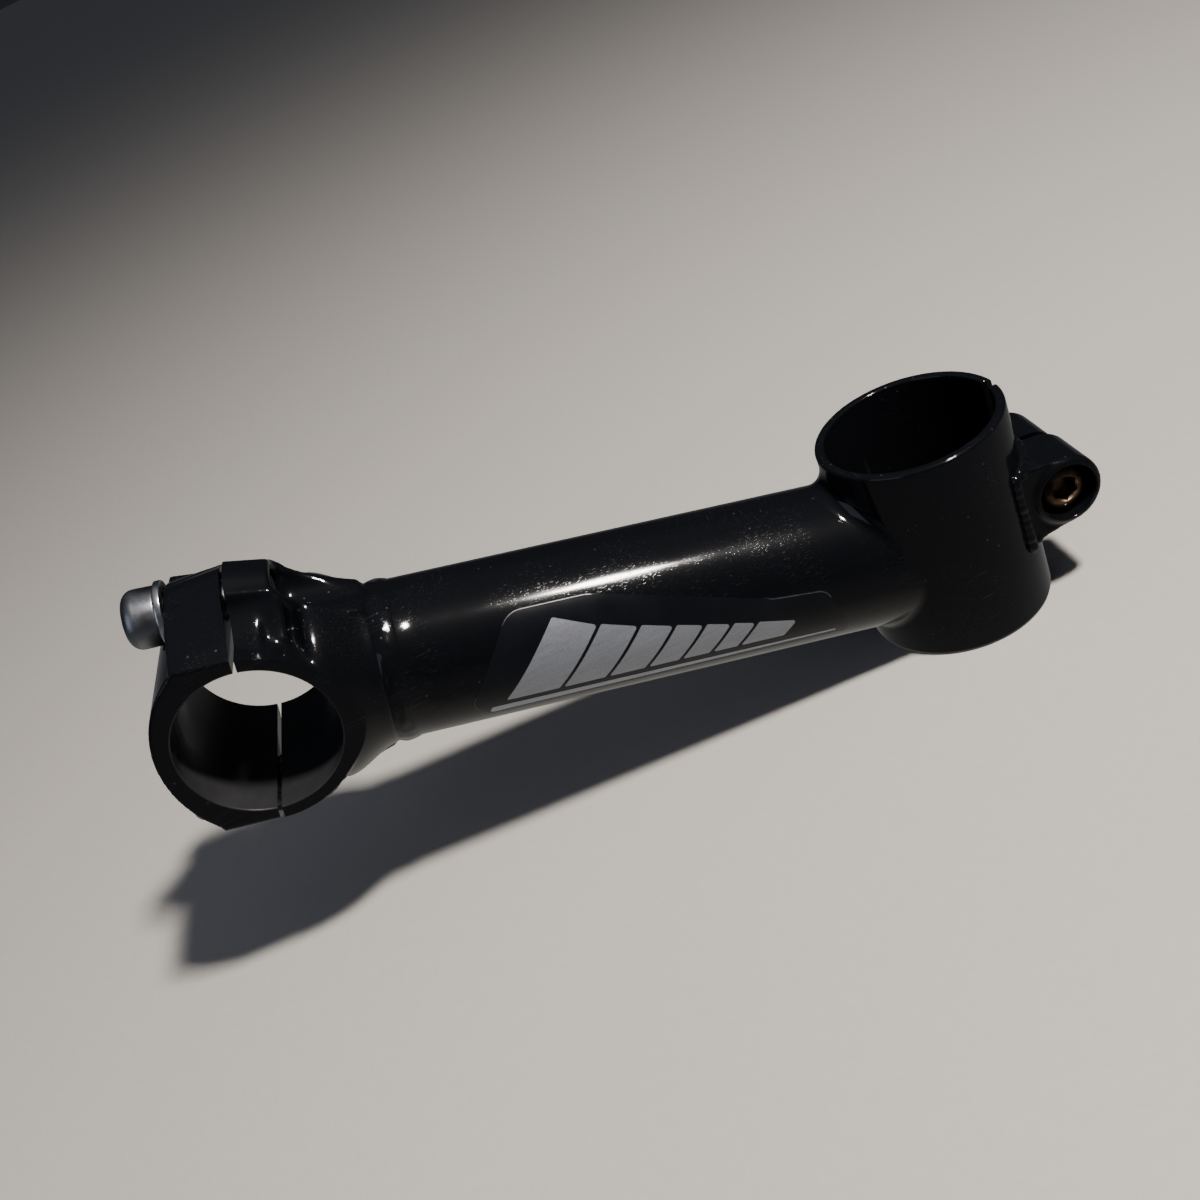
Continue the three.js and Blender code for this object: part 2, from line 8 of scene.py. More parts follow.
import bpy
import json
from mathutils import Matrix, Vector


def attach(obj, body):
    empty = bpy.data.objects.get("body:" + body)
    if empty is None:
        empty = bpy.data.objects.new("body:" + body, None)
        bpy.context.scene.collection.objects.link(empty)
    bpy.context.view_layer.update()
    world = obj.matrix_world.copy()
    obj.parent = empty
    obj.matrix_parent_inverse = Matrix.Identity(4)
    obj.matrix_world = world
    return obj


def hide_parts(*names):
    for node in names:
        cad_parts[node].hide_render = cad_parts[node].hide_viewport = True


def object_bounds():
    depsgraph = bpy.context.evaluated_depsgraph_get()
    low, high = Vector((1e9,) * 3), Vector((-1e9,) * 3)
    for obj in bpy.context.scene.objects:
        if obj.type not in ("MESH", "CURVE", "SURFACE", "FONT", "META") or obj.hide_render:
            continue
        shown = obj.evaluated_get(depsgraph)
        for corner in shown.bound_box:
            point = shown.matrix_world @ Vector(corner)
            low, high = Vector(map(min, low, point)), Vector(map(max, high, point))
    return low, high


bl_info = {
    "name": "Handlebar Stem",
    "version": (1, 0, 0),
    "blender": (4, 5, 0),
    "location": "View3D > Sidebar > Stem",
    "description": "Builds the visible pieces of a handlebar stem round its CAD frame",
    "category": "Add Mesh",
}

import json
from math import acos, asin, cos, degrees, hypot, pi, radians, sin, sqrt, tan
from types import SimpleNamespace

import bmesh
import bpy
from bpy.props import FloatProperty, FloatVectorProperty, PointerProperty
from bpy.types import Operator, Panel, PropertyGroup
from mathutils import Matrix, Vector, noise

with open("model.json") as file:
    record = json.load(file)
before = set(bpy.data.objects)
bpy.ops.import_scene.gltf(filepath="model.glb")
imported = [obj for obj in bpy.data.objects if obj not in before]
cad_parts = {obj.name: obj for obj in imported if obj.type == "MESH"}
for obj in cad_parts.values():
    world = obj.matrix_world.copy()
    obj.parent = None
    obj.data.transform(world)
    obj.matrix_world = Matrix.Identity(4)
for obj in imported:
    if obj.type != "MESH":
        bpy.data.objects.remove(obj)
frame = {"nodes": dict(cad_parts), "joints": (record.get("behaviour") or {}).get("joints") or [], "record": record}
CAD_BOX = [list(corner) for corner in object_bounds()]

MM = 0.001
ROUND_STEPS = 160        # segments round a large circle
SMALL_STEPS = 64         # segments round a bolt
FAR = 80                 # beyond anything that is cut, in millimetres
CLEARANCE = 0.3          # what the CAD leaves between two pieces that touch
SEATED = 0.25            # how far a seated face, or the split's, is drawn into that clearance
SHARP_ANGLE = radians(32)

# ------------------------------------------------------------------ the frame's own sizes

JOINTS = {joint["name"]: joint for joint in frame["joints"]}
OPENINGS = {opening["name"]: opening["box_m"] for opening in frame["record"]["physics"]["openings"]}

BAR_CENTRE = sum((Vector(corner) for corner in OPENINGS["bar_bore"]), Vector()) / 2
FORWARD = Vector(JOINTS["faceplate_slide"]["axis"])
RISE = asin(FORWARD.z)
STEM_LENGTH = BAR_CENTRE.x / FORWARD.x / MM
LIFT = (BAR_CENTRE - FORWARD * STEM_LENGTH * MM).z / MM

TURN = Matrix.Rotation(-RISE, 4, "Y")
STEERER = Matrix.Scale(MM, 4)
EXTENSION = STEERER @ Matrix.Translation((0, 0, LIFT)) @ TURN
CLAMP = EXTENSION @ Matrix.Translation((STEM_LENGTH, 0, 0))


def on_bench(node, bench):
    """The points of a CAD node as a bench sees them, in millimetres."""
    back = bench.inverted()
    return [back @ vertex.co for vertex in frame["nodes"][node].data.vertices]


def bench_box(node, bench):
    """A CAD node's lowest and highest corner on a bench."""
    columns = list(zip(*on_bench(node, bench)))
    return Vector([min(column) for column in columns]), Vector([max(column) for column in columns])


def nearest(node, bench, across):
    """The smallest distance of a CAD node from a bench's axis, such as its bore's radius."""
    first, second = across
    return min(hypot(point[first], point[second]) for point in on_bench(node, bench))


CLAMP_RADIUS = bench_box("steerer_clamp_tube", STEERER)[1].y
CLAMP_HEIGHT = bench_box("steerer_clamp_tube", STEERER)[1].z
STEERER_RADIUS = nearest("steerer_clamp_tube", STEERER, (0, 1))
EXTENSION_RADIUS = bench_box("extension_tube", EXTENSION)[1].y
EXTENSION_END = bench_box("extension_tube", EXTENSION)[1].x
BAR_RADIUS = nearest("faceplate", CLAMP, (0, 2))
CLAMP_HALF_WIDTH = bench_box("faceplate", CLAMP)[1].y
LUG_TOP = bench_box("faceplate", CLAMP)[1].z
FACEPLATE_FRONT = bench_box("faceplate", CLAMP)[1].x
SPLIT_HALF = bench_box("faceplate", CLAMP)[0].x - SEATED
NECK_BACK = bench_box("bar_clamp_cradle", CLAMP)[0].x
BOLT_OFFSET = sum(corner.z for corner in bench_box("faceplate_bolt_upper", CLAMP)) / 2
PINCH_CENTRE = Vector(JOINTS["pinch_bolt_turn"]["pos_m"]) / MM

# ------------------------------------------------------------------ the maker's own sizes

ROOT_RADIUS = CLAMP_RADIUS - 0.9     # where the ears and the extension end, in the clamp's wall
SHOULDER = BAR_RADIUS + 2.2          # the height at which the faceplate's sides start to taper
LUG_SLOPE = 0.17                     # how fast the lugs' tops fall away from the split
CROWN_SETBACK = 4                    # the centre of the faceplate's crown, behind the bar's axis
FINER = 0.85                         # the small forgings' grain, as a share of the cradle's
STOCK = 1.2                          # spare metal on a blank, outside its machined faces
FACEPLATE_SCREW = (6, 5.22)          # an M6 screw's diameter, and the height of its head
PINCH_SCREW = (5, 5)                 # the same for an M5 screw
FILM_LIFT = 0.02                     # from the paint to the underside of a sticker's film
FILM_HEIGHT = 0.06                   # the film's thickness
FILM_EDGE_HEIGHT = 0.075             # the height of its lifted edge


# ------------------------------------------------------------------ settings

def linear(code):
    """An sRGB hex colour as linear red, green and blue."""
    parts = [int(code[i:i + 2], 16) / 255 for i in (1, 3, 5)]
    return tuple(p / 12.92 if p <= 0.04045 else ((p + 0.055) / 1.055) ** 2.4 for p in parts)


def length_property(name, description, millimetres):
    """A length, given in millimetres and kept in metres."""
    return FloatProperty(
        name=name, description=description, default=millimetres * MM, unit="LENGTH", precision=5)


def colour_property(name, description, code):
    """A colour, given as a hex code and kept as linear values."""
    return FloatVectorProperty(
        name=name, description=description, default=linear(code), subtype="COLOR", min=0, max=1)


def angle_property(name, description, value):
    """An angle, given in degrees and kept in radians."""
    return FloatProperty(name=name, description=description, default=radians(value), subtype="ANGLE")


class StemSizes(PropertyGroup):
    """The sizes that the looks add to the frame's own."""
    rim_rounding: length_property("Rim rounding", "Outer edge of each bore's rim", 0.6)
    bore_rounding: length_property("Bore rounding", "Inner edge of each bore's rim", 0.4)
    fillet: length_property("Rear fillet", "Radius of the smooth joint at the steerer clamp", 2.6)
    weld_crown: length_property("Weld crown", "Height of the front weld over the tube", 0.42)
    voxel: length_property("Forging grain", "Grid that forged blanks are melted together on", 0.34)
    slot_width: length_property("Slot width", "Slot down the back of the steerer clamp", 2.4)
    boss_radius: length_property("Boss radius", "Thread bosses round the faceplate's bolts", 5.8)
    boss_length: length_property("Boss length", "Thread bosses, behind the bar's axis", 7.3)
    trough_radius: length_property("Trough radius", "Scoop behind each thread boss", 4.6)
    ring_radius: length_property("Ring radius", "Outside of the cradle behind the bar", 15.2)
    neck_flare: length_property("Neck flare", "Growth of the neck towards the bar", 3.9)
    lug_seat: length_property("Lug seat", "Faceplate bolts' seats, ahead of the bar's axis", 9.5)
    bolt_hole: length_property("Bolt hole", "Radius of the faceplate bolts' holes", 3.35)
    pinch_hole: length_property("Pinch hole", "Radius of the pinch bolt's hole", 2.85)
    counterbore: length_property("Counterbore", "Radius of the recess for the pinch bolt", 4.9)
    print_height: length_property("Print height", "Silver print over the clear film", 0.05)


class StemColours(PropertyGroup):
    """The colours of the finishes, as linear values of the sRGB hex codes given here."""
    enamel: colour_property("Enamel", "Gloss black paint", "#0A0B0E")
    scuff: colour_property("Scuff", "Worn and dusty paint", "#26282C")
    rubbed: colour_property("Rubbed bore", "Paint dulled by the handlebar", "#2A2A2C")
    silver: colour_property("Silver ink", "Metallic print", "#9A9EA6")
    screw: colour_property("Screw steel", "Satin faceplate bolts", "#84868B")
    washer: colour_property("Washer steel", "Bright washers", "#D0D1D2")
    bronze: colour_property("Bare screw", "Worn pinch bolt", "#7C6752")
    tarnish: colour_property("Tarnish", "Dark patches on the pinch bolt", "#33261E")
    film: colour_property("Film", "Clear film over the enamel", "#0A0B0E")
    film_cloud: colour_property("Clouded film", "Duller patches of the film", "#121419")
    edge: colour_property("Film edge", "The film's cut edge", "#1C1F24")
    edge_dirt: colour_property("Edge dirt", "Dirt along the film's edge", "#4A4F58")
    floor: colour_property("Floor", "Pale laminate under the stem", "#BDB9B3")


class StemStage(PropertyGroup):
    """The camera and the lights."""
    azimuth: angle_property("Azimuth", "Camera's direction round the stem", 181.31)
    elevation: angle_property("Elevation", "Camera's height above the horizon", 31.54)
    roll: angle_property("Roll", "Camera's tilt about its own axis", -26.36)
    distance: length_property("Distance", "From the camera to its aim", 222)
    lens: FloatProperty(name="Lens", description="Focal length in millimetres", default=39.08)
    aim: FloatVectorProperty(
        name="Aim", description="The camera's aim, from the middle of the stem", unit="LENGTH",
        default=(3.13 * MM, -1.08 * MM, -3.63 * MM), precision=5)
    key_power: FloatProperty(
        name="Key light", description="Small softbox over the stem, in watts", default=8)
    fill_power: FloatProperty(
        name="Fill light", description="Dim panel at the front, in watts", default=1.2)
    sky: FloatProperty(name="Sky", description="Strength of the room's light", default=0.6)


def bench_sizes(context):
    """The settings' lengths in millimetres, for use on a bench."""
    group = context.scene.stem_sizes
    names = group.bl_rna.properties.keys()
    return SimpleNamespace(**{
        name: getattr(group, name) / MM for name in names if name not in ("rna_type", "name")})


# ------------------------------------------------------------------ shaping on the bench

def eased(corners, steps=6):
    """An outline with rounded corners, from corners of (x, y, radius)."""
    outline = []
    for i, (x, y, radius) in enumerate(corners):
        here = Vector((x, y))
        if radius <= 0:
            outline.append(here)
            continue
        before = (Vector(corners[i - 1][:2]) - here).normalized()
        after = (Vector(corners[(i + 1) % len(corners)][:2]) - here).normalized()
        half = before.angle(after) / 2
        centre = here + (before + after).normalized() * radius / sin(half)
        start = here + before * radius / tan(half) - centre
        end = here + after * radius / tan(half) - centre
        outline += [centre + start.slerp(end, k / steps) * radius for k in range(steps + 1)]
    return outline


def arc(centre, radius, start, end, steps):
    """Points along an arc, with its angles in degrees."""
    turns = [radians(start + (end - start) * k / steps) for k in range(steps + 1)]
    return [Vector((centre[0] + radius * cos(t), centre[1] + radius * sin(t))) for t in turns]


def curved(start, pull, end, steps=10):
    """Points along a quadratic curve from start to end, drawn towards pull."""
    start, pull, end = Vector(start), Vector(pull), Vector(end)
    shares = [k / steps for k in range(steps + 1)]
    return [start * (1 - t) ** 2 + pull * 2 * t * (1 - t) + end * t ** 2 for t in shares]


def turned(profile, steps=ROUND_STEPS, placing=Matrix()):
    """A profile of (radius, height) spun round Z. It is closed unless it ends on the axis."""
    bm = bmesh.new()
    verts = [bm.verts.new((point[0], 0, point[1])) for point in profile]
    pairs = list(zip(verts, verts[1:]))
    if profile[0][0] > 0 or profile[-1][0] > 0:
        pairs.append((verts[-1], verts[0]))
    edges = [bm.edges.new(pair) for pair in pairs]
    bmesh.ops.spin(
        bm, geom=verts + edges, cent=(0, 0, 0), axis=(0, 0, 1), angle=2 * pi, steps=steps,
        use_merge=True)
    bmesh.ops.remove_doubles(bm, verts=bm.verts, dist=1e-4)
    bmesh.ops.recalc_face_normals(bm, faces=bm.faces)
    bmesh.ops.transform(bm, matrix=placing, verts=bm.verts)
    return bm


def pushed(outline, low, high, placing=Matrix()):
    """A flat outline pushed along Z from low to high."""
    bm = bmesh.new()
    face = bm.faces.new([bm.verts.new((point[0], point[1], low)) for point in outline])
    made = bmesh.ops.extrude_face_region(bm, geom=[face])["geom"]
    lifted = [item for item in made if isinstance(item, bmesh.types.BMVert)]
    bmesh.ops.translate(bm, verts=lifted, vec=(0, 0, high - low))
    bmesh.ops.recalc_face_normals(bm, faces=bm.faces)
    bmesh.ops.transform(bm, matrix=placing, verts=bm.verts)
    return bm


def lofted(rings):
    """A skin through rings of points: each ring is the last one extruded and put in its place."""
    bm = bmesh.new()
    row = [bm.verts.new(point) for point in rings[0]]
    edges = [bm.edges.new(pair) for pair in zip(row, row[1:] + row[:1])]
    for ring in rings[1:]:
        made = bmesh.ops.extrude_edge_only(bm, edges=edges)["geom"]
        fresh = {item for item in made if isinstance(item, bmesh.types.BMVert)}
        across = [next(e for e in vert.link_edges if e.other_vert(vert) in fresh) for vert in row]
        row = [edge.other_vert(vert) for edge, vert in zip(across, row)]
        edges = [
            next(e for e in vert.link_edges if e.other_vert(vert) == after)
            for vert, after in zip(row, row[1:] + row[:1])]
        for vert, point in zip(row, ring):
            vert.co = point
    bmesh.ops.remove_doubles(bm, verts=bm.verts, dist=1e-4)
    bmesh.ops.recalc_face_normals(bm, faces=bm.faces)
    return bm


def joined(*parts):
    """Several bench meshes as one, without welding them."""
    whole = bmesh.new()
    for part in parts:
        scrap = bpy.data.meshes.new("scrap")
        part.to_mesh(scrap)
        whole.from_mesh(scrap)
        part.free()
        bpy.data.meshes.remove(scrap)
    return whole


def bench_object(bm):
    """A bench mesh as an object of its own. The bench mesh is freed."""
    mesh = bpy.data.meshes.new("blank")
    bm.to_mesh(mesh)
    bm.free()
    blank = bpy.data.objects.new("blank", mesh)
    bpy.context.scene.collection.objects.link(blank)
    return blank


def reshaped(bm, *modifiers):
    """A bench mesh after modifiers, each given as (type, settings)."""
    blank = bench_object(bm)
    for kind, settings in modifiers:
        modifier = blank.modifiers.new(kind.title(), kind)
        for name, value in settings.items():
            setattr(modifier, name, value)
    result = bmesh.new()
    result.from_object(blank, bpy.context.evaluated_depsgraph_get())
    bpy.data.objects.remove(blank)
    return result


def carved(bm, *tools, operation="DIFFERENCE"):
    """A bench mesh with other bench meshes cut away from it, or joined or kept in common."""
    operands = [bench_object(tool) for tool in tools]
    steps = [
        ("BOOLEAN", {"operation": operation, "solver": "EXACT", "object": operand})
        for operand in operands]
    result = reshaped(bm, *steps)
    for operand in operands:
        bpy.data.objects.remove(operand)
    return result


def melted(bm, voxel, smoothing):
    """A forged blank: overlapping solids run together, with their creases and edges softened."""
    remesh = ("REMESH", {"mode": "VOXEL", "voxel_size": voxel, "adaptivity": 0.0})
    smooth = ("SMOOTH", {"factor": 0.5, "iterations": smoothing})
    return reshaped(bm, remesh, smooth)


ALONG_X = Matrix.Rotation(pi / 2, 4, "Y")
ALONG_Y = Matrix.Rotation(-pi / 2, 4, "X")
FROM_SIDE = Matrix.Rotation(pi / 2, 4, "X")     # an outline in x and y to x and z
FROM_FRONT = Matrix(((0, 0, 1, 0), (1, 0, 0, 0), (0, 1, 0, 0), (0, 0, 0, 1)))   # to y and z


def drill(radius, low, high, placing):
    """A cutter for a plain round hole."""
    return turned([(0, low), (radius, low), (radius, high), (0, high)], SMALL_STEPS, placing)


def reamer(radius, half_length, rounding, placing):
    """A cutter for a bore whose two rims are rounded where they meet faces at +-half_length."""
    centre = (radius + rounding, half_length - rounding)
    upper = [(0, FAR), (radius + rounding, FAR)] + arc(centre, rounding, 90, 180, 6)
    lower = [(point[0], -point[1]) for point in reversed(upper)]
    return turned(upper + lower, ROUND_STEPS, placing)


def settle(name, bm, bench, body, nodes, material):
    """Places a finished bench mesh in the frame as a piece, in metres."""
    bmesh.ops.transform(bm, matrix=bench, verts=bm.verts)
    mesh = bpy.data.meshes.new(name)
    bm.to_mesh(mesh)
    bm.free()
    mesh.shade_smooth()
    mesh.set_sharp_from_angle(angle=SHARP_ANGLE)
    piece = bpy.data.objects.new(name, mesh)
    bpy.context.scene.collection.objects.link(piece)
    piece.data.materials.append(material)
    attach(piece, body)
    if nodes:
        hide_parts(*nodes)
    return piece


# ------------------------------------------------------------------ finishes

def add_node(tree, kind, settings=None, inputs=None):
    """Adds a node with its settings, and sets or links its inputs."""
    node = tree.nodes.new(kind)
    for name, value in (settings or {}).items():
        setattr(node, name, value)
    for name, value in (inputs or {}).items():
        if isinstance(value, bpy.types.NodeSocket):
            tree.links.new(value, node.inputs[name])
        else:
            node.inputs[name].default_value = value
    return node


def opaque(colour):
    """A colour with full alpha."""
    return (*colour[:3], 1)


def shaded(name, build):
    """A material with that name, made once. build adds its nodes and returns the shader."""
    known = bpy.data.materials.get(name)
    if known:
        return known
    material = bpy.data.materials.new(name)
    material.use_nodes = True
    tree = material.node_tree
    tree.nodes.clear()
    shader = build(tree, bpy.context.scene.stem_colours)
    add_node(tree, "ShaderNodeOutputMaterial", {}, {"Surface": shader.outputs[0]})
    return material


def enamel_nodes(tree, colours):
    # Stove enamel sprayed on steel tube: a deep wet black that mirrors its surroundings, with a
    # faint orange peel about 2 mm across, and hairline scuffs and dust that only highlights show.
    place = add_node(tree, "ShaderNodeTexCoord").outputs["Object"]
    peel = add_node(tree, "ShaderNodeTexNoise", {}, {
        "Vector": place, "Scale": 480.0, "Detail": 1.5, "Roughness": 0.4})
    # Real hairlines are about 0.02 mm wide; these are 0.15 mm, to show at the render's scale.
    along = add_node(tree, "ShaderNodeMapping", {}, {
        "Vector": place, "Rotation": (0.25, -RISE - 0.12, 0.2), "Scale": (90, 6500, 6500)})
    hairs = add_node(tree, "ShaderNodeTexNoise", {}, {
        "Vector": along.outputs[0], "Scale": 1.0, "Detail": 2.0, "Roughness": 0.6})
    across = add_node(tree, "ShaderNodeMapping", {}, {
        "Vector": place, "Rotation": (0.9, 0.7, -0.5), "Scale": (5200, 130, 5200)})
    crossing = add_node(tree, "ShaderNodeTexNoise", {}, {
        "Vector": across.outputs[0], "Scale": 1.0, "Detail": 2.0, "Roughness": 0.6})
    worn = add_node(tree, "ShaderNodeTexNoise", {}, {
        "Vector": place, "Scale": 70.0, "Detail": 3.0, "Roughness": 0.55})
    scratch_a = add_node(tree, "ShaderNodeMapRange", {}, {
        "Value": hairs.outputs[0], "From Min": 0.62, "From Max": 0.74})
    scratch_b = add_node(tree, "ShaderNodeMapRange", {}, {
        "Value": crossing.outputs[0], "From Min": 0.66, "From Max": 0.76})
    scratches = add_node(tree, "ShaderNodeMath", {"operation": "MAXIMUM"}, {
        0: scratch_a.outputs[0], 1: scratch_b.outputs[0]})
    patches = add_node(tree, "ShaderNodeMapRange", {}, {
        "Value": worn.outputs[0], "From Min": 0.42, "From Max": 0.66})
    scuffed = add_node(tree, "ShaderNodeMath", {"operation": "MULTIPLY"}, {
        0: scratches.outputs[0], 1: patches.outputs[0]})
    specks = add_node(tree, "ShaderNodeTexVoronoi", {"feature": "F1"}, {
        "Vector": place, "Scale": 330.0, "Randomness": 1.0})
    dust = add_node(tree, "ShaderNodeMapRange", {}, {
        "Value": specks.outputs["Distance"], "From Min": 0.075, "From Max": 0.045})
    marks = add_node(tree, "ShaderNodeMath", {"operation": "MAXIMUM"}, {
        0: scuffed.outputs[0], 1: dust.outputs[0]})
    painted = add_node(tree, "ShaderNodeMix", {"data_type": "RGBA"}, {
        0: marks.outputs[0], 6: opaque(colours.enamel), 7: opaque(colours.scuff)})
    # The bar has rubbed its bore to a dull grey, in patches.
    off_axis = add_node(tree, "ShaderNodeVectorMath", {"operation": "SUBTRACT"}, {
        0: place, 1: BAR_CENTRE})
    flat = add_node(tree, "ShaderNodeVectorMath", {"operation": "MULTIPLY"}, {
        0: off_axis.outputs[0], 1: (1, 0, 1)})
    reach = add_node(tree, "ShaderNodeVectorMath", {"operation": "LENGTH"}, {0: flat.outputs[0]})
    inside = add_node(tree, "ShaderNodeMapRange", {}, {
        0: reach.outputs["Value"], "From Min": (BAR_RADIUS + 0.35) * MM,
        "From Max": (BAR_RADIUS + 0.1) * MM})
    rubbed = add_node(tree, "ShaderNodeMapRange", {}, {
        0: worn.outputs[0], "From Min": 0.3, "From Max": 0.6, "To Min": 0.45, "To Max": 1.0})
    bore = add_node(tree, "ShaderNodeMath", {"operation": "MULTIPLY"}, {
        0: inside.outputs[0], 1: rubbed.outputs[0]})
    colour = add_node(tree, "ShaderNodeMix", {"data_type": "RGBA"}, {
        0: bore.outputs[0], 6: painted.outputs[2], 7: opaque(colours.rubbed)})
    haze = add_node(tree, "ShaderNodeMapRange", {}, {
        "Value": worn.outputs[0], "From Min": 0.3, "From Max": 0.75, "To Min": 0.05, "To Max": 0.13})
    dulled = add_node(tree, "ShaderNodeMath", {"operation": "MAXIMUM"}, {
        0: marks.outputs[0], 1: bore.outputs[0]})
    rough = add_node(tree, "ShaderNodeMath", {"operation": "MULTIPLY_ADD"}, {
        0: dulled.outputs[0], 1: 0.3, 2: haze.outputs[0]})
    rounded = add_node(tree, "ShaderNodeBevel", {"samples": 4}, {"Radius": 0.25 * MM})
    peeled = add_node(tree, "ShaderNodeBump", {}, {
        "Strength": 0.05, "Distance": 0.05 * MM, "Height": peel.outputs[0],
        "Normal": rounded.outputs[0]})
    scratched = add_node(tree, "ShaderNodeBump", {"invert": True}, {
        "Strength": 0.25, "Distance": 0.02 * MM, "Height": scuffed.outputs[0],
        "Normal": peeled.outputs[0]})
    return add_node(tree, "ShaderNodeBsdfPrincipled", {}, {
        "Base Color": colour.outputs[2], "Roughness": rough.outputs[0], "IOR": 1.5,
        "Specular IOR Level": 0.25, "Coat Weight": 0.02, "Coat Roughness": 0.4,
        "Normal": scratched.outputs[0]})


def film_nodes(tree, colours):
    # The clear film that a sticker is printed on, over black enamel: a shade duller and greyer
    # than the paint, with the odd speck of dust.
    place = add_node(tree, "ShaderNodeTexCoord").outputs["Object"]
    clouds = add_node(tree, "ShaderNodeTexNoise", {}, {
        "Vector": place, "Scale": 160.0, "Detail": 3.0})
    colour = add_node(tree, "ShaderNodeMix", {"data_type": "RGBA"}, {
        0: clouds.outputs[0], 6: opaque(colours.film), 7: opaque(colours.film_cloud)})
    rough = add_node(tree, "ShaderNodeMapRange", {}, {
        "Value": clouds.outputs[0], "To Min": 0.16, "To Max": 0.3})
    bump = add_node(tree, "ShaderNodeBump", {}, {
        "Strength": 0.1, "Distance": 0.03 * MM, "Height": clouds.outputs[0]})
    return add_node(tree, "ShaderNodeBsdfPrincipled", {}, {
        "Base Color": colour.outputs[2], "Roughness": rough.outputs[0], "IOR": 1.5,
        "Specular IOR Level": 0.22, "Normal": bump.outputs[0]})


def film_edge_nodes(tree, colours):
    # The film's cut edge, which has lifted a little and holds dirt: a thin dull grey line.
    place = add_node(tree, "ShaderNodeTexCoord").outputs["Object"]
    dirt = add_node(tree, "ShaderNodeTexNoise", {}, {
        "Vector": place, "Scale": 900.0, "Detail": 2.0})
    colour = add_node(tree, "ShaderNodeMix", {"data_type": "RGBA"}, {
        0: dirt.outputs[0], 6: opaque(colours.edge), 7: opaque(colours.edge_dirt)})
    return add_node(tree, "ShaderNodeBsdfPrincipled", {}, {
        "Base Color": colour.outputs[2], "Roughness": 0.35, "IOR": 1.5})


def silver_nodes(tree, colours):
    # Silver screen ink: aluminium flake in varnish, so it glows softly and has a fine grain.
    place = add_node(tree, "ShaderNodeTexCoord").outputs["Object"]
    flake = add_node(tree, "ShaderNodeTexNoise", {}, {
        "Vector": place, "Scale": 3200.0, "Detail": 2.0, "Roughness": 0.7})
    streaks = add_node(tree, "ShaderNodeMapping", {}, {
        "Vector": place, "Rotation": (0, -RISE, 0), "Scale": (120, 1800, 1800)})
    drag = add_node(tree, "ShaderNodeTexNoise", {}, {
        "Vector": streaks.outputs[0], "Scale": 1.0, "Detail": 2.0})
    grain = add_node(tree, "ShaderNodeMath", {"operation": "MULTIPLY_ADD"}, {
        0: drag.outputs[0], 1: 0.5, 2: flake.outputs[0]})
    shade = add_node(tree, "ShaderNodeMapRange", {}, {
        "Value": grain.outputs[0], "From Min": 0.5, "From Max": 1.0})
    colour = add_node(tree, "ShaderNodeMix", {"data_type": "RGBA"}, {
        0: shade.outputs[0], 6: opaque([c * 0.72 for c in colours.silver]),
        7: opaque(colours.silver)})
    rough = add_node(tree, "ShaderNodeMapRange", {}, {
        "Value": flake.outputs[0], "To Min": 0.3, "To Max": 0.5})
    bump = add_node(tree, "ShaderNodeBump", {}, {
        "Strength": 0.25, "Distance": 0.02 * MM, "Height": flake.outputs[0]})
    return add_node(tree, "ShaderNodeBsdfPrincipled", {}, {
        "Base Color": colour.outputs[2], "Metallic": 0.55, "Roughness": rough.outputs[0],
        "Normal": bump.outputs[0]})


def steel_nodes(colour_name, low, high, grime):
    """Shader nodes for a steel finish between two roughnesses, with a share of dark grime."""
    def build(tree, colours):
        place = add_node(tree, "ShaderNodeTexCoord").outputs["Object"]
        base = getattr(colours, colour_name)
        fine = add_node(tree, "ShaderNodeTexNoise", {}, {
            "Vector": place, "Scale": 1500.0, "Detail": 3.0, "Roughness": 0.6})
        broad = add_node(tree, "ShaderNodeTexNoise", {}, {
            "Vector": place, "Scale": 260.0, "Detail": 3.0, "Roughness": 0.6})
        dark = add_node(tree, "ShaderNodeMapRange", {}, {
            "Value": broad.outputs[0], "From Min": 0.76 - grime * 0.53,
            "From Max": 0.84 - grime * 0.23})
        colour = add_node(tree, "ShaderNodeMix", {"data_type": "RGBA"}, {
            0: dark.outputs[0], 6: opaque(base), 7: opaque(colours.tarnish)})
        rough = add_node(tree, "ShaderNodeMapRange", {}, {
            "Value": broad.outputs[0], "From Min": 0.3, "From Max": 0.7,
            "To Min": low, "To Max": high})
        rounded = add_node(tree, "ShaderNodeBevel", {"samples": 4}, {"Radius": 0.15 * MM})
        bump = add_node(tree, "ShaderNodeBump", {}, {
            "Strength": 0.2, "Distance": 0.02 * MM, "Height": fine.outputs[0],
            "Normal": rounded.outputs[0]})
        return add_node(tree, "ShaderNodeBsdfPrincipled", {}, {
            "Base Color": colour.outputs[2], "Metallic": 1.0, "Roughness": rough.outputs[0],
            "Normal": bump.outputs[0]})
    return build


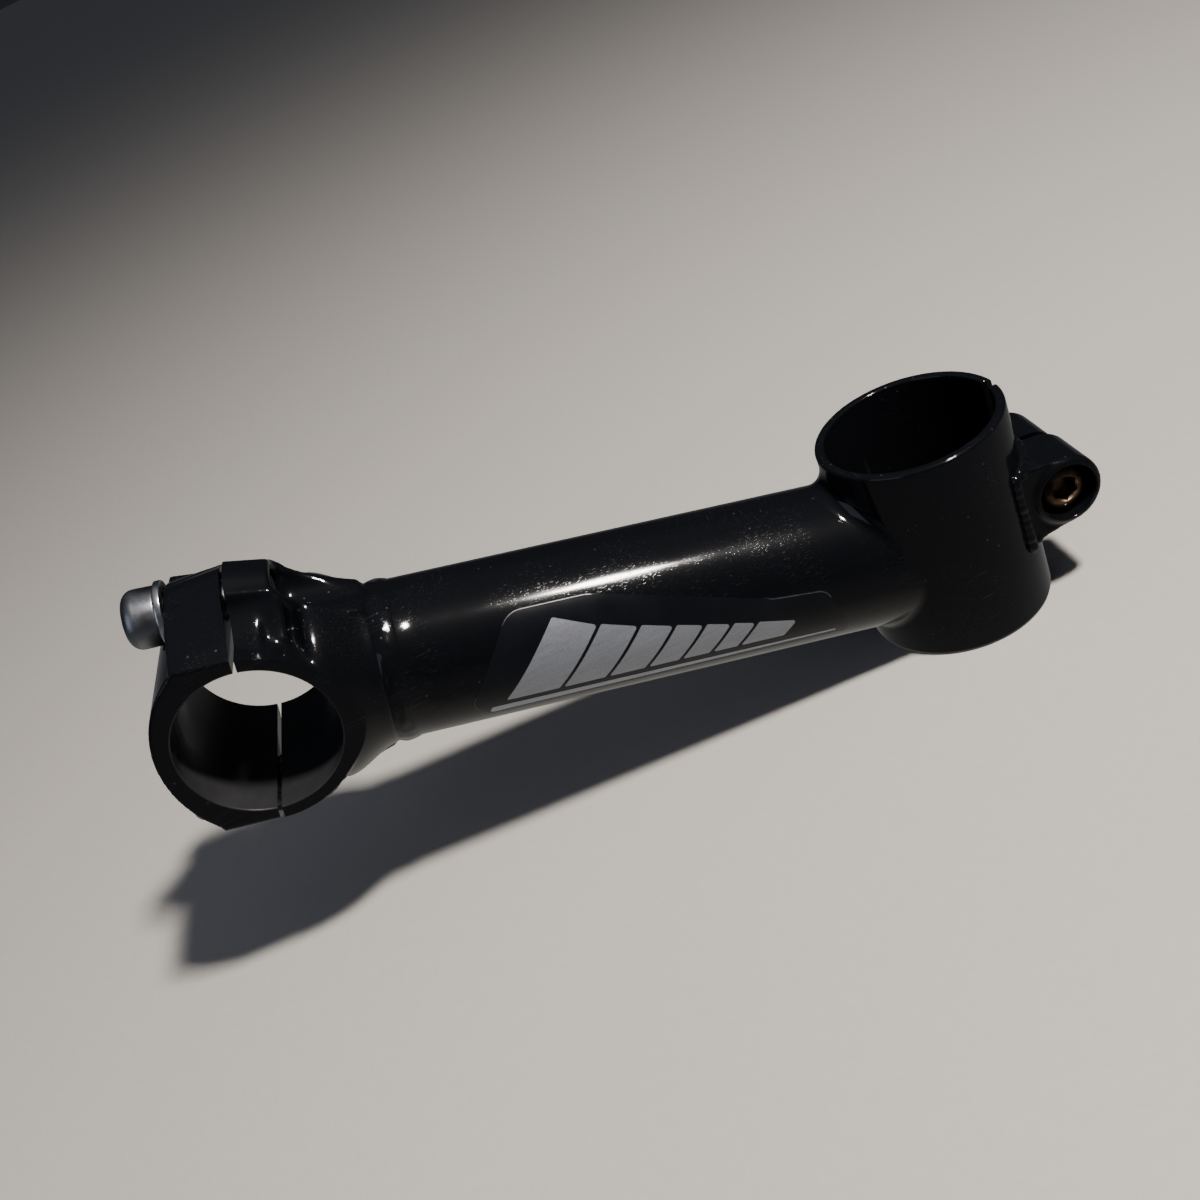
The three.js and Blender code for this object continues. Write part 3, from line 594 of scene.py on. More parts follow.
def floor_nodes(tree, colours):
    # A pale laminate table top, embossed with a fine weave about 1.3 mm across.
    place = add_node(tree, "ShaderNodeTexCoord").outputs["Object"]
    warp = add_node(tree, "ShaderNodeMapping", {}, {"Vector": place, "Scale": (700, 160, 1)})
    weft = add_node(tree, "ShaderNodeMapping", {}, {"Vector": place, "Scale": (160, 700, 1)})
    ribs = [
        add_node(tree, "ShaderNodeTexNoise", {}, {
            "Vector": way.outputs[0], "Scale": 1.0, "Detail": 2.0})
        for way in (warp, weft)]
    weave = add_node(tree, "ShaderNodeMath", {"operation": "ADD"}, {
        0: ribs[0].outputs[0], 1: ribs[1].outputs[0]})
    mottle = add_node(tree, "ShaderNodeTexNoise", {}, {
        "Vector": place, "Scale": 420.0, "Detail": 4.0, "Roughness": 0.7})
    colour = add_node(tree, "ShaderNodeMix", {"data_type": "RGBA"}, {
        0: mottle.outputs[0], 6: opaque([c * 0.9 for c in colours.floor]), 7: opaque(colours.floor)})
    bump = add_node(tree, "ShaderNodeBump", {}, {
        "Strength": 0.55, "Distance": 0.08 * MM, "Height": weave.outputs[0]})
    return add_node(tree, "ShaderNodeBsdfPrincipled", {}, {
        "Base Color": colour.outputs[2], "Roughness": 0.42, "IOR": 1.45, "Normal": bump.outputs[0]})


FINISHES = {
    "enamel": ("gloss_black_stove_enamel", enamel_nodes),
    "film": ("clear_sticker_film", film_nodes),
    "film_edge": ("lifted_film_edge", film_edge_nodes),
    "silver": ("silver_screen_ink", silver_nodes),
    "screw": ("satin_zinc_steel", steel_nodes("screw", 0.26, 0.42, 0.0)),
    "washer": ("bright_zinc_steel", steel_nodes("washer", 0.16, 0.3, 0.0)),
    "bare": ("bare_weathered_steel", steel_nodes("bronze", 0.3, 0.6, 0.6)),
    "floor": ("pale_laminate", floor_nodes),
}


def finish(key):
    """The finish with that key, as a material."""
    return shaded(*FINISHES[key])


# ------------------------------------------------------------------ the pieces

class STEM_OT_steerer_clamp(Operator):
    """Turn the steerer clamp with its rounded rims and cut its slot"""
    bl_idname = "stem.steerer_clamp"
    bl_label = "Steerer clamp"

    def execute(self, context):
        sizes = bench_sizes(context)
        profile = eased([
            (STEERER_RADIUS, 0, sizes.bore_rounding),
            (CLAMP_RADIUS, 0, sizes.rim_rounding),
            (CLAMP_RADIUS, CLAMP_HEIGHT, sizes.rim_rounding),
            (STEERER_RADIUS, CLAMP_HEIGHT, sizes.bore_rounding)])
        half = sizes.slot_width / 2
        slot = pushed([(-FAR, -half), (0, -half), (0, half), (-FAR, half)], -FAR, FAR)
        tube = carved(turned(profile), slot, *pinch_drills(sizes))
        settle("steerer_clamp", tube, STEERER, "stem", ["steerer_clamp_tube"],
               finish("enamel"))
        return {"FINISHED"}


def pinch_drills(sizes):
    """Cutters for the pinch bolt's hole and for the recess that its head sits in."""
    floor = bench_box("pinch_washer", STEERER)[0].y - CLEARANCE
    mouth = bench_box("pinch_ear_left", STEERER)[1].y
    radius = sizes.counterbore
    lip = sizes.bore_rounding
    centre = Matrix.Translation((PINCH_CENTRE.x, 0, PINCH_CENTRE.z)) @ ALONG_Y
    rim = arc((radius + lip, mouth - lip), lip, 180, 90, 5)
    recess = [(0, floor), (radius, floor)] + rim + [(radius + lip, FAR), (0, FAR)]
    return [drill(sizes.pinch_hole, -FAR, FAR, centre), turned(recess, SMALL_STEPS, centre)]


class STEM_OT_pinch_ears(Operator):
    """Forge the two ears of the steerer clamp with the weld beads round their roots"""
    bl_idname = "stem.pinch_ears"
    bl_label = "Pinch ears"

    def execute(self, context):
        sizes = bench_sizes(context)
        for side, name in ((1, "left"), (-1, "right")):
            self.forge(sizes, side, name)
        return {"FINISHED"}

    def forge(self, sizes, side, name):
        """One ear, shaped as the left one and turned over for the right."""
        node = "pinch_ear_" + name
        low, high = bench_box(node, STEERER)
        radius = (high.z - low.z) / 2
        inner = min(abs(low.y), abs(high.y))
        outer = max(abs(low.y), abs(high.y))
        x, z = PINCH_CENTRE.x, PINCH_CENTRE.z
        shoulder = 1.4           # rounding of the boss's outer end
        root, spread = -8, 1.5   # where the web ends inside the clamp, and its growth on the way
        inset = 0.8              # the web's outer side, inside the boss's end
        ends = [(0, 0, 0), (radius, 0, 0), (radius, outer, shoulder), (0, outer, 0)]
        boss = turned(eased(ends), SMALL_STEPS, Matrix.Translation((x, 0, z)) @ ALONG_Y)
        web = pushed(
            [(x, z - radius), (root, z - radius - spread), (root, z + radius + spread),
             (x, z + radius)], -outer + inset, 0, FROM_SIDE)
        blank = joined(boss, web, *self.beads(radius, outer))
        if side < 0:
            bmesh.ops.scale(blank, vec=(1, -1, 1), verts=blank.verts)
            bmesh.ops.reverse_faces(blank, faces=blank.faces)
        ear = melted(blank, sizes.voxel * FINER, smoothing=7)
        bore = turned([(0, -FAR), (ROOT_RADIUS, -FAR), (ROOT_RADIUS, FAR), (0, FAR)])
        reach = sorted((side * inner, -side * FAR))
        gap = pushed([(-FAR, reach[0]), (FAR, reach[0]), (FAR, reach[1]), (-FAR, reach[1])],
                     -FAR, FAR)
        tools = pinch_drills(sizes)
        if side < 0:
            tools.pop().free()
        ear = carved(ear, bore, gap, *tools)
        settle(node, ear, STEERER, "stem", [node, "pinch_ear_weld_" + name],
               finish("enamel"))

    def beads(self, radius, outer):
        """Overlapping drops of weld down both edges of the root and across its outer end."""
        bead, pitch, uneven = 1.25, 1.5, 0.12
        proud, aside = 0.1, 0.6  # the drops' centres, outside the clamp's skin and the ear's edge
        start = 1.5              # of each row, from the middle of the slot
        z = PINCH_CENTRE.z
        top, bottom = z + radius + aside, z - radius - aside
        route = [(y, top) for y in steps_between(start, outer, pitch)]
        route += [(outer + proud, level)
                  for level in steps_between(z + radius, z - radius, pitch)]
        route += [(y, bottom) for y in steps_between(outer, start, pitch)]
        out = CLAMP_RADIUS + proud
        drops = []
        for i, (y, level) in enumerate(route):
            place = Vector((-sqrt(out * out - y * y), y, level))
            size = bead * (1 + uneven * noise.noise(Vector((i * 0.7, 3.1, radius))))
            drop = bmesh.new()
            bmesh.ops.create_icosphere(
                drop, subdivisions=2, radius=size, matrix=Matrix.Translation(place))
            drops.append(drop)
        return drops


def steps_between(start, end, pitch):
    """Values from start to end, about a pitch apart."""
    count = max(1, round(abs(end - start) / pitch))
    return [start + (end - start) * k / count for k in range(count + 1)]


class STEM_OT_extension(Operator):
    """Loft the extension tube, its smooth joint to the steerer clamp and its front weld"""
    bl_idname = "stem.extension"
    bl_label = "Extension"

    def execute(self, context):
        sizes = bench_sizes(context)
        columns = [self.line(sizes, k / ROUND_STEPS * 2 * pi) for k in range(ROUND_STEPS)]
        tube = lofted(list(zip(*columns)))
        settle("extension", tube, STEERER, "stem",
               ["extension_tube", "extension_weld_rear", "extension_weld_front"],
               finish("enamel"))
        return {"FINISHED"}

    def line(self, sizes, angle):
        """The skin's points at one angle round the extension, from its front end to its rear."""
        out = Vector((0, cos(angle), sin(angle)))
        level = Matrix.Translation((0, 0, LIFT)) @ TURN

        def at(along, radius):
            return level @ (Vector((along, 0, 0)) + out * radius)

        # The front end, closed by a flat cap inside the neck.
        weld = STEM_LENGTH + NECK_BACK
        past, cap = 1.5, 12
        points = [at(weld + past, 0), at(weld + past, cap)]
        # The front weld's crowned bead, which laps the neck and the tube.
        front_lap, rear_lap, bead_steps, ripple_height = 0.6, 0.8, 18, 0.13
        width = weld - EXTENSION_END
        for k in range(bead_steps + 1):
            share = k / bead_steps
            along = weld + front_lap - share * (width + front_lap + rear_lap)
            ripple = noise.noise(Vector((along * 0.9, out.y * 9, out.z * 9))) * ripple_height
            crown = (sizes.weld_crown + ripple) * sin(pi * share) ** 0.8
            points.append(at(along, EXTENSION_RADIUS + crown))
        # The plain tube, as far as the fillet.
        tube_steps = 24
        fillet = sizes.fillet * (1 + 0.12 * sin(angle))
        reach = self.meets(EXTENSION_RADIUS + fillet, angle, CLAMP_RADIUS + fillet)
        start = weld - width - rear_lap
        for k in range(1, tube_steps + 1):
            points.append(at(start + (reach - start) * k / tube_steps, EXTENSION_RADIUS))
        # The fillet, as a ball rolled between the tube and the clamp leaves it.
        ball_steps = 14
        ball = at(reach, EXTENSION_RADIUS + fillet)
        towards_tube = TURN.to_3x3() @ -out
        towards_clamp = -Vector((ball.x, ball.y, 0)).normalized()
        for k in range(1, ball_steps + 1):
            points.append(ball + towards_tube.slerp(towards_clamp, k / ball_steps) * fillet)
        # Its toe dips under the clamp's skin, and a cap inside the clamp's wall closes the end.
        toe, dip = 0.3, 0.03
        tangent = (points[-1] - points[-2]).normalized()
        points.append(points[-1] + tangent * toe + towards_clamp * dip)
        for share in (1, 0.5, 0):
            radius = EXTENSION_RADIUS * share
            points.append(at(self.meets(radius, angle, ROOT_RADIUS), radius))
        return points

    def meets(self, radius, angle, clamp):
        """How far along the extension a line at this radius and angle meets the clamp."""
        across = radius * cos(angle)
        return (sqrt(clamp ** 2 - across ** 2) + radius * sin(angle) * sin(RISE)) / cos(RISE)


def bar_reamer(sizes):
    """The cutter for the bar's bore, whose rims are crisper than the steerer's."""
    crispness = 0.6
    return reamer(BAR_RADIUS, CLAMP_HALF_WIDTH, sizes.bore_rounding * crispness, ALONG_Y)


def bolt_drills(radius, low, high):
    """Cutters along both faceplate bolts."""
    return [
        drill(radius, low, high, Matrix.Translation((0, 0, side * BOLT_OFFSET)) @ ALONG_X)
        for side in (1, -1)]


def side_cutters():
    """Blocks that leave the machined flats at the two ends of the bar clamp."""
    outline = [(-FAR, -FAR), (FAR, -FAR), (FAR, FAR), (-FAR, FAR)]
    return [
        pushed(outline, -FAR, -CLAMP_HALF_WIDTH, FROM_SIDE),
        pushed(outline, CLAMP_HALF_WIDTH, FAR, FROM_SIDE)]


class STEM_OT_bar_clamp_cradle(Operator):
    """Forge the cradle behind the bar and machine its bore, split, flats and thread holes"""
    bl_idname = "stem.bar_clamp_cradle"
    bl_label = "Bar clamp cradle"

    def execute(self, context):
        sizes = bench_sizes(context)
        lip_depth = 4.6                    # the full-width lips, behind the bar's axis
        web_depth, web_share = 8.4, 0.68   # the narrower web behind them
        waist_inset = 0.2                  # on each side, within the bosses
        oval = 1.03                        # the neck's width, as a share of its height
        wide = CLAMP_HALF_WIDTH + STOCK
        boss = sizes.boss_radius
        back = arc((0, 0), sizes.ring_radius, 90, 270, 48)
        ring = pushed(back + [(STOCK, -sizes.ring_radius), (STOCK, sizes.ring_radius)],
                      -wide, wide, FROM_SIDE)
        lips = pushed(self.lip_outline(sizes, CLAMP_HALF_WIDTH, STOCK), -lip_depth, STOCK,
                      FROM_FRONT)
        web = pushed(self.lip_outline(sizes, CLAMP_HALF_WIDTH * web_share, 0), -web_depth, 0,
                     FROM_FRONT)
        waist = pushed(self.waist_outline(sizes), -boss + waist_inset, boss - waist_inset,
                       FROM_SIDE)
        neck = turned(self.neck_profile(sizes), ROUND_STEPS, ALONG_X)
        bmesh.ops.scale(neck, vec=(1, oval, 1), verts=neck.verts)
        body = carved(ring, lips, web, waist, neck, operation="UNION")
        body = carved(body, *self.troughs(sizes))
        lugs = pushed(self.lug_outline(sizes), -sizes.boss_length, STOCK, FROM_FRONT)
        for vert in lugs.verts:
            vert.co.z *= 1 + LUG_SLOPE * vert.co.x / LUG_TOP
        forged = melted(joined(body, lugs), sizes.voxel, smoothing=24)
        front = pushed([(-SPLIT_HALF, -FAR), (FAR, -FAR), (FAR, FAR), (-SPLIT_HALF, FAR)],
                       -FAR, FAR, FROM_SIDE)
        holes = bolt_drills(sizes.bolt_hole, -FAR, FAR)
        cradle = carved(forged, front, *side_cutters(), bar_reamer(sizes), *holes)
        settle("bar_clamp_cradle_forging", cradle, CLAMP, "stem", ["bar_clamp_cradle"],
               finish("enamel"))
        return {"FINISHED"}

    def lip_outline(self, sizes, half, spare):
        """From the front: straight beside the bar, then drawn in to the sides of the lugs."""
        straight, bend, pull = 13.6, 14.2, 15.2      # heights over the bar's axis
        boss = sizes.boss_radius
        right = [Vector((half + spare, straight))]
        right += curved((half, bend), (boss + 3, pull), (boss, BOLT_OFFSET + 2))
        left = [Vector((-point.x, point.y)) for point in reversed(right)]
        return both_ends(right + left)

    def lug_outline(self, sizes):
        """From the front: the two lugs as one bar with rounded shoulders."""
        boss = sizes.boss_radius
        drop, flat, crown = 2.2, 2.2, 0.2   # the shoulders' drop, and the top's half width and rise
        shoulder = (boss, LUG_TOP - drop, 2.4)
        top = (flat, LUG_TOP + crown, 2.6)
        outline = eased([
            (boss, 0, 0), shoulder, top, (-top[0], *top[1:]), (-shoulder[0], *shoulder[1:]),
            (-boss, 0, 0)])
        return both_ends(outline[1:-1])

    def waist_outline(self, sizes):
        """Seen from the side, the metal that joins each boss to the neck."""
        back = -sizes.boss_length
        top = BOLT_OFFSET + 3
        foot = (NECK_BACK + 1, EXTENSION_RADIUS + 0.1)
        pull = (back - 3, foot[1] + 3)
        upper = [Vector((0, top + 1))] + curved((back, top), pull, foot)
        lower = [Vector((point.x, -point.y)) for point in reversed(upper)]
        return upper + lower

    def neck_profile(self, sizes):
        """The neck as (radius, distance): it leaves its weld as wide as the tube and flares."""
        flare_length, steps, past = 10, 10, 3
        end = NECK_BACK + flare_length + past
        flare = [
            (EXTENSION_RADIUS + sizes.neck_flare * ease(share), NECK_BACK + flare_length * share)
            for share in (k / steps for k in range(steps + 1))]
        return [(0, NECK_BACK)] + flare + [(EXTENSION_RADIUS, end), (0, end)]

    def troughs(self, sizes):
        """A round-nosed scoop behind each boss, which clears the end of its bolt."""
        radius = sizes.trough_radius
        corner = 2                   # the rounding of the scoop's nose
        bite, outward = 0.3, 0.4     # its cut into the boss, and its shift from the bolt's axis
        nose = -sizes.boss_length + bite
        cap = arc((radius - corner, nose - corner), corner, 0, 90, 5)
        profile = [(0, -FAR), (radius, -FAR)] + cap + [(0, nose)]
        return [
            turned(profile, SMALL_STEPS,
                   Matrix.Translation((0, 0, side * (BOLT_OFFSET + outward))) @ ALONG_X)
            for side in (1, -1)]


def ease(share):
    """A share from 0 to 1, made to start and end slowly."""
    return share * share * (3 - 2 * share)


def both_ends(upper):
    """An outline from its upper half, given from right to left: the lower half is the same."""
    return upper + [Vector((-point.x, -point.y)) for point in upper]


class STEM_OT_faceplate(Operator):
    """Forge the faceplate with its shallow crown and machine its bore, seats and bolt holes"""
    bl_idname = "stem.faceplate"
    bl_label = "Faceplate"

    def execute(self, context):
        sizes = bench_sizes(context)
        side = pushed(self.side_outline(sizes), -CLAMP_HALF_WIDTH, CLAMP_HALF_WIDTH, FROM_SIDE)
        front = pushed(self.front_outline(), -1, FAR / 2, FROM_FRONT)
        for vert in front.verts:
            share = max(0, abs(vert.co.z) - SHOULDER) / (LUG_TOP - SHOULDER)
            vert.co.z -= (1 if vert.co.z > 0 else -1) * share * LUG_SLOPE * max(0, vert.co.x)
        blank = carved(side, front, operation="INTERSECT")
        forged = melted(blank, sizes.voxel * FINER, smoothing=3)
        back = pushed([(-FAR, -FAR), (SPLIT_HALF, -FAR), (SPLIT_HALF, FAR), (-FAR, FAR)],
                      -FAR, FAR, FROM_SIDE)
        washer = bench_box("faceplate_washer_upper", CLAMP)
        seat_radius = (washer[1].y - washer[0].y) / 2 + CLEARANCE
        seats = bolt_drills(seat_radius, sizes.lug_seat, FAR)
        holes = bolt_drills(sizes.bolt_hole, -FAR, FAR)
        plate = carved(forged, back, bar_reamer(sizes), *seats, *holes)
        settle("faceplate_forging", plate, CLAMP, "faceplate", ["faceplate"],
               finish("enamel"))
        return {"FINISHED"}

    def side_outline(self, sizes):
        """From the side: a shallow crown over the bar between two flat bolt seats."""
        crown = FACEPLATE_FRONT + CROWN_SETBACK
        middle = FACEPLATE_FRONT - crown
        half = degrees(acos((sizes.lug_seat - middle) / crown))
        past = LUG_TOP + 1
        return ([Vector((-1, -past)), Vector((sizes.lug_seat, -past))]
                + arc((middle, 0), crown, -half, half, 40)
                + [Vector((sizes.lug_seat, past)), Vector((-1, past))])

    def front_outline(self):
        """From the front: straight beside the bar, tapering to a rounded lug at each end."""
        half = CLAMP_HALF_WIDTH
        lug_half, drop = 5.5, 1.8            # the lug's half width, and its corners below its top
        upper = eased([
            (half, SHOULDER, 0), (lug_half, LUG_TOP - drop, 1.2), (0, LUG_TOP, 6),
            (-lug_half, LUG_TOP - drop, 1.2), (-half, SHOULDER, 0)])
        return both_ends(upper)


def cap_screw(node, bench, axis, centre, diameter, head_height):
    """A cap-head screw as long as its CAD node: domed head, hexagon socket and chamfered tip."""
    low, high = bench_box(node, bench)
    along = max(range(3), key=lambda i: abs(axis.to_3x3().col[2][i]))
    head = max(high[i] - low[i] for i in range(3) if i != along) / 2
    top, tip = high[along], low[along]
    shank = diameter / 2
    seat = top - head_height - SEATED
    dome, flare = min(2.1, head * 0.45), 0.1    # the head's crown, and its growth from its seat
    profile = eased([
        (0, tip, 0), (shank, tip, 0.6), (shank, seat, 0.2), (head - flare, seat, 0.3),
        (head, top, dome), (0, top, 0)], 8)
    place = Matrix.Translation(centre) @ axis
    corner, depth = diameter * 0.47, diameter * 0.5     # the socket's, with its corners' radius
    above = 2                                           # its cutter, over the head
    socket = bmesh.new()
    bmesh.ops.create_cone(
        socket, cap_ends=True, segments=6, radius1=corner, radius2=corner, depth=depth + above,
        matrix=Matrix.Translation((0, 0, top - depth / 2 + above / 2)))
    lead = bmesh.new()
    bmesh.ops.create_cone(
        lead, cap_ends=True, segments=SMALL_STEPS, radius1=diameter * 0.42, radius2=diameter * 0.54,
        depth=0.8, matrix=Matrix.Translation((0, 0, top)))
    for tool in (socket, lead):
        bmesh.ops.transform(tool, matrix=place, verts=tool.verts)
    return carved(turned(profile, SMALL_STEPS, place), socket, lead)


def washer(node, bench, axis, centre, hole):
    """A flat washer with stamped, rounded edges, as big as its CAD node."""
    low, high = bench_box(node, bench)
    along = max(range(3), key=lambda i: abs(axis.to_3x3().col[2][i]))
    outer = max(high[i] - low[i] for i in range(3) if i != along) / 2
    seat = low[along] - SEATED
    profile = eased([(hole, seat, 0.12), (outer, seat, 0.2),
                     (outer, high[along], 0.3), (hole, high[along], 0.12)], 5)
    return turned(profile, SMALL_STEPS, Matrix.Translation(centre) @ axis)


class STEM_OT_faceplate_screws(Operator):
    """Turn the faceplate's two screws and their washers"""
    bl_idname = "stem.faceplate_screws"
    bl_label = "Faceplate screws"

    def execute(self, context):
        sizes = bench_sizes(context)
        for name, side in (("upper", 1), ("lower", -1)):
            centre = (0, 0, side * BOLT_OFFSET)
            ring = washer("faceplate_washer_" + name, CLAMP, ALONG_X, centre, sizes.bolt_hole)
            settle("stamped_washer_" + name, ring, CLAMP, "faceplate",
                   ["faceplate_washer_" + name], finish("washer"))
            screw = cap_screw("faceplate_bolt_" + name, CLAMP, ALONG_X, centre, *FACEPLATE_SCREW)
            settle("cap_screw_" + name, screw, CLAMP, name + "_bolt",
                   ["faceplate_bolt_" + name], finish("screw"))
        return {"FINISHED"}


class STEM_OT_pinch_screw(Operator):
    """Turn the pinch bolt and its washer, which sit in the left ear"""
    bl_idname = "stem.pinch_screw"
    bl_label = "Pinch screw"

    def execute(self, context):
        sizes = bench_sizes(context)
        centre = (PINCH_CENTRE.x, 0, PINCH_CENTRE.z)
        ring = washer("pinch_washer", STEERER, ALONG_Y, centre, sizes.pinch_hole)
        settle("stamped_pinch_washer", ring, STEERER, "pinch_washer", ["pinch_washer"],
               finish("washer"))
        screw = cap_screw("pinch_bolt", STEERER, ALONG_Y, centre, *PINCH_SCREW)
        settle("cap_pinch_screw", screw, STEERER, "pinch_bolt", ["pinch_bolt"],
               finish("bare"))
        return {"FINISHED"}


class STEM_OT_stickers(Operator):
    """Lay a sticker with a silver graphic on each side of the extension"""
    bl_idname = "stem.stickers"
    bl_label = "Stickers"

    def execute(self, context):
        sizes = bench_sizes(context)
        for name, side in (("left", 1), ("right", -1)):
            self.lay(sizes, name, side)
        return {"FINISHED"}

    def lay(self, sizes, name, side):
        """One sticker: its film, the film's lifted edge and the silver print."""
        node = "decal_" + name
        low, high = bench_box(node, EXTENSION)
        surface = EXTENSION_RADIUS + FILM_LIFT
        outline = self.film_outline(low.x, high.x)
        film = self.wrapped(outline, surface, FILM_HEIGHT, side)
        settle("sticker_film_" + name, film, EXTENSION, "stem", [node],
               finish("film"))
        edge = self.border(outline, surface, FILM_EDGE_HEIGHT, side)
        settle("sticker_edge_" + name, edge, EXTENSION, "stem", [],
               finish("film_edge"))
        bars = [self.wrapped(shape, surface + FILM_HEIGHT, sizes.print_height, side)
                for shape in self.graphic(low.x, high.x)]
        settle("sticker_print_" + name, joined(*bars), EXTENSION, "stem", [],
               finish("silver"))

    def film_outline(self, start, end):
        """The film, in millimetres along the tube and round it from its side."""
        bottom, top = -8.1, 10.7
        return eased([
            (start + 0.3, bottom, 1.2), (end - 3, bottom, 2.5), (end - 0.2, -4.5, 3),
            (end - 9, top, 4), (end - 22, top, 7), (start + 14, 3.0, 8), (start + 5, 2.4, 2.5)], 6)

    def graphic(self, start, end):
        """A wedge that falls away to the rear, slit on a slant, over a thin tapering line."""
        foot, slit, lean = -4.9, 0.7, 0.75
        nose, tail = end - 6, start + 12
        peak, fall, sag = 8.2, 10.2, 0.8
        shares = (0, 0.2, 0.36, 0.5, 0.62, 0.73, 0.83, 1)
        shapes = []
        for fore, rear in zip(shares, shares[1:]):
            right, left = (nose + (tail - nose) * share for share in (fore, rear))
            tall, low = (peak - fall * share ** sag for share in (fore, rear))
            shapes.append(eased([
                (left + slit, foot, 0.25), (right, foot, 0.25),
                (right - (tall - foot) * lean, tall, 0.4),
                (left + slit - (low - foot) * lean, low, 0.4)], 4))
        shapes.append(eased([
            (start + 3.4, -7.0, 0.1), (end - 3, -7.6, 0.5), (end - 3.6, -6.0, 0.5),
            (start + 3.4, -6.5, 0.1)], 3))
        return shapes

    def wrapped(self, outline, radius, height, side):
        """A flat outline wrapped on the tube at a radius, as a patch with a thickness."""
        bm = pushed(outline, 0, height)
        # Cut this finely along the tube and round it, the patch can follow the tube's curve.
        for axis, pitch in ((0, 4.0), (1, 0.55)):
            values = [vert.co[axis] for vert in bm.verts]
            normal = Vector((0, 0, 0))
            normal[axis] = 1
            for level in steps_between(min(values), max(values), pitch)[1:-1]:
                bmesh.ops.bisect_plane(
                    bm, geom=bm.verts[:] + bm.edges[:] + bm.faces[:], dist=1e-5,
                    plane_co=normal * level, plane_no=normal)
        return self.bent(bm, radius, side)

    def border(self, outline, radius, height, side):
        """A thin raised line along an outline, wrapped on the tube."""
        inward, outward, slant = 0.16, 0.02, 0.6
        count = len(outline)
        rings = []
        for i, here in enumerate(outline):
            ahead = (outline[(i + 1) % count] - outline[i - 1]).normalized()
            out = Vector((ahead.y, -ahead.x))
            inner, outer = here - out * inward, here + out * outward
            rings.append([
                Vector((inner.x, inner.y, 0)), Vector((outer.x, outer.y, 0)),
                Vector((outer.x, outer.y, height * slant)), Vector((inner.x, inner.y, height))])
        return self.bent(lofted(rings + rings[:1]), radius, side)

    def bent(self, bm, radius, side):
        """A flat patch wrapped round the tube: its y becomes a distance round it."""
        for vert in bm.verts:
            along, around, height = vert.co
            angle = around / radius
            reach = radius + height
            vert.co = Vector((along, side * reach * cos(angle), reach * sin(angle)))
        bmesh.ops.recalc_face_normals(bm, faces=bm.faces)
        return bm


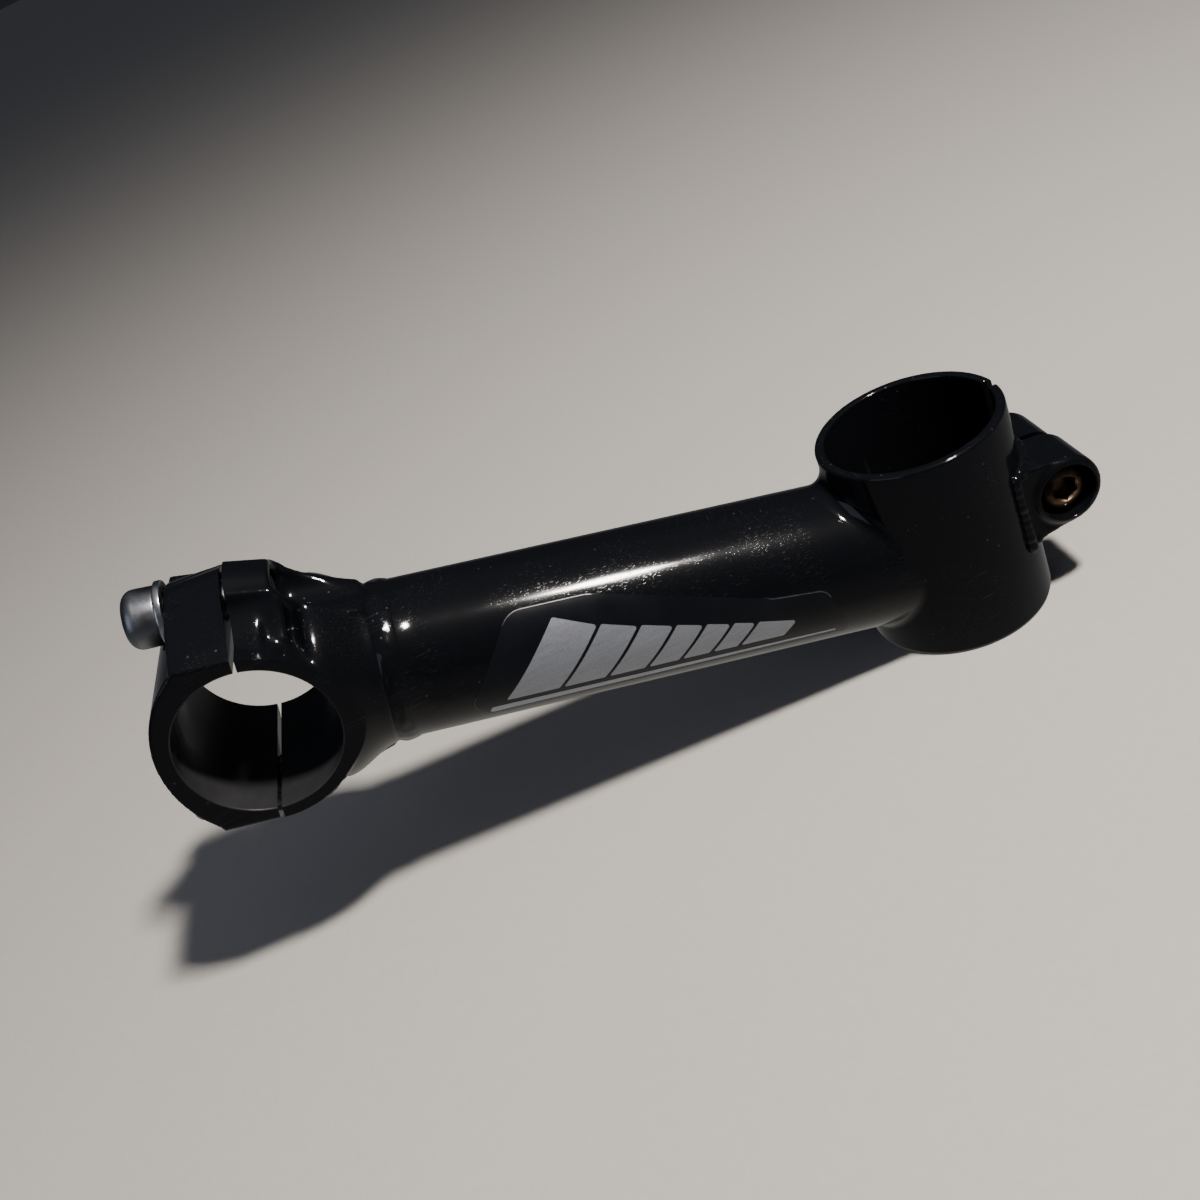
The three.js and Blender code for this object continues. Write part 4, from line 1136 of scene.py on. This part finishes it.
class STEM_OT_stage(Operator):
    """Set the floor, the lights and the camera round the stem"""
    bl_idname = "stem.stage"
    bl_label = "Stage"

    def execute(self, context):
        stage = context.scene.stem_stage
        low, high = (Vector(corner) for corner in CAD_BOX)
        aim = Vector(((low.x + high.x) / 2, (low.y + high.y) / 2, (low.z + high.z) / 2))
        self.floor(low.z)
        self.camera(context, stage, aim)
        self.lights(context, stage, aim)
        self.room(context, stage)
        return {"FINISHED"}

    def floor(self, height):
        """A level floor that the paint doesn't mirror: the room's pale lower half stands in."""
        reach = 60      # metres, beyond anything that the camera sees
        bm = bmesh.new()
        bmesh.ops.create_circle(
            bm, cap_ends=True, segments=96, radius=reach, matrix=Matrix.Translation((0, 0, height)))
        mesh = bpy.data.meshes.new("floor")
        bm.to_mesh(mesh)
        bm.free()
        floor = bpy.data.objects.new("floor", mesh)
        bpy.context.scene.collection.objects.link(floor)
        mesh.materials.append(finish("floor"))
        floor.visible_glossy = False

    def camera(self, context, stage, aim):
        """The camera, aimed a little off the middle of the stem."""
        data = bpy.data.cameras.new("camera")
        data.lens = stage.lens
        data.clip_start = 0.01
        camera = bpy.data.objects.new("camera", data)
        context.scene.collection.objects.link(camera)
        back = Vector((sin(stage.azimuth) * cos(stage.elevation),
                       -cos(stage.azimuth) * cos(stage.elevation), sin(stage.elevation)))
        camera.rotation_mode = "QUATERNION"
        turn = (-back).to_track_quat("-Z", "Y").to_matrix() @ Matrix.Rotation(stage.roll, 3, "Z")
        camera.rotation_quaternion = turn.to_quaternion()
        camera.location = aim + Vector(stage.aim) + back * stage.distance
        context.scene.camera = camera

    def lights(self, context, stage, aim):
        """Two panels, each with a direction, distance and size in metres, power and colour."""
        panels = (
            ("key", (-0.36, 0.27, 0.88), 0.62, (0.07, 0.05), stage.key_power, "#FFF8F1"),
            ("fill", (0.75, 0.5, 0.42), 0.9, (0.6, 0.6), stage.fill_power, "#DCE6FF"),
        )
        for name, direction, distance, size, power, code in panels:
            data = bpy.data.lights.new(name, "AREA")
            data.shape = "RECTANGLE"
            data.size, data.size_y = size
            data.energy = power
            data.color = linear(code)
            lamp = bpy.data.objects.new(name, data)
            context.scene.collection.objects.link(lamp)
            towards = Vector(direction).normalized()
            lamp.location = aim + towards * distance
            lamp.rotation_mode = "QUATERNION"
            lamp.rotation_quaternion = (-towards).to_track_quat("-Z", "Y")

    def room(self, context, stage):
        """A dim room, from pale below through dark at the horizon to soft grey overhead."""
        world = bpy.data.worlds.new("studio")
        world.use_nodes = True
        tree = world.node_tree
        sky = tree.nodes["Background"]
        where = add_node(tree, "ShaderNodeTexCoord")
        split = add_node(tree, "ShaderNodeSeparateXYZ", {}, {0: where.outputs["Generated"]})
        height = add_node(tree, "ShaderNodeMapRange", {}, {
            0: split.outputs[2], "From Min": -1, "From Max": 1})
        bands = add_node(tree, "ShaderNodeValToRGB", {}, {0: height.outputs[0]})
        ramp = bands.color_ramp.elements
        ramp[0].position, ramp[0].color = 0, opaque(linear("#FFFAF0"))
        ramp[1].position, ramp[1].color = 1, opaque(linear("#7F848E"))
        for place, code in ((0.08, "#E6E1D8"), (0.17, "#A8A6A4"), (0.3, "#909092"),
                            (0.5, "#2C2D32"), (0.75, "#363941")):
            ramp.new(place).color = opaque(linear(code))
        tree.links.new(bands.outputs[0], sky.inputs["Color"])
        sky.inputs["Strength"].default_value = stage.sky
        context.scene.world = world


# ------------------------------------------------------------------ the add-on

OPERATORS = (
    STEM_OT_steerer_clamp, STEM_OT_pinch_ears, STEM_OT_extension, STEM_OT_bar_clamp_cradle,
    STEM_OT_faceplate, STEM_OT_faceplate_screws, STEM_OT_pinch_screw, STEM_OT_stickers,
    STEM_OT_stage)


class STEM_PT_panel(Panel):
    """Lists the steps that build the stem, and its settings"""
    bl_idname = "STEM_PT_panel"
    bl_label = "Handlebar stem"
    bl_space_type = "VIEW_3D"
    bl_region_type = "UI"
    bl_category = "Stem"

    def draw(self, context):
        for operator in OPERATORS:
            self.layout.operator(operator.bl_idname)
        for name, group in SETTINGS:
            box = self.layout.box()
            for key in group.__annotations__:
                box.prop(getattr(context.scene, name), key)


SETTINGS = (("stem_sizes", StemSizes), ("stem_colours", StemColours), ("stem_stage", StemStage))
CLASSES = (StemSizes, StemColours, StemStage, *OPERATORS, STEM_PT_panel)


def register():
    for cls in CLASSES:
        bpy.utils.register_class(cls)
    for name, group in SETTINGS:
        setattr(bpy.types.Scene, name, PointerProperty(type=group))


def unregister():
    for name, _ in SETTINGS:
        delattr(bpy.types.Scene, name)
    for cls in reversed(CLASSES):
        bpy.utils.unregister_class(cls)


def main():
    register()
    for operator in OPERATORS:
        group, name = operator.bl_idname.split(".")
        getattr(getattr(bpy.ops, group), name)()


if __name__ == "__main__":
    main()
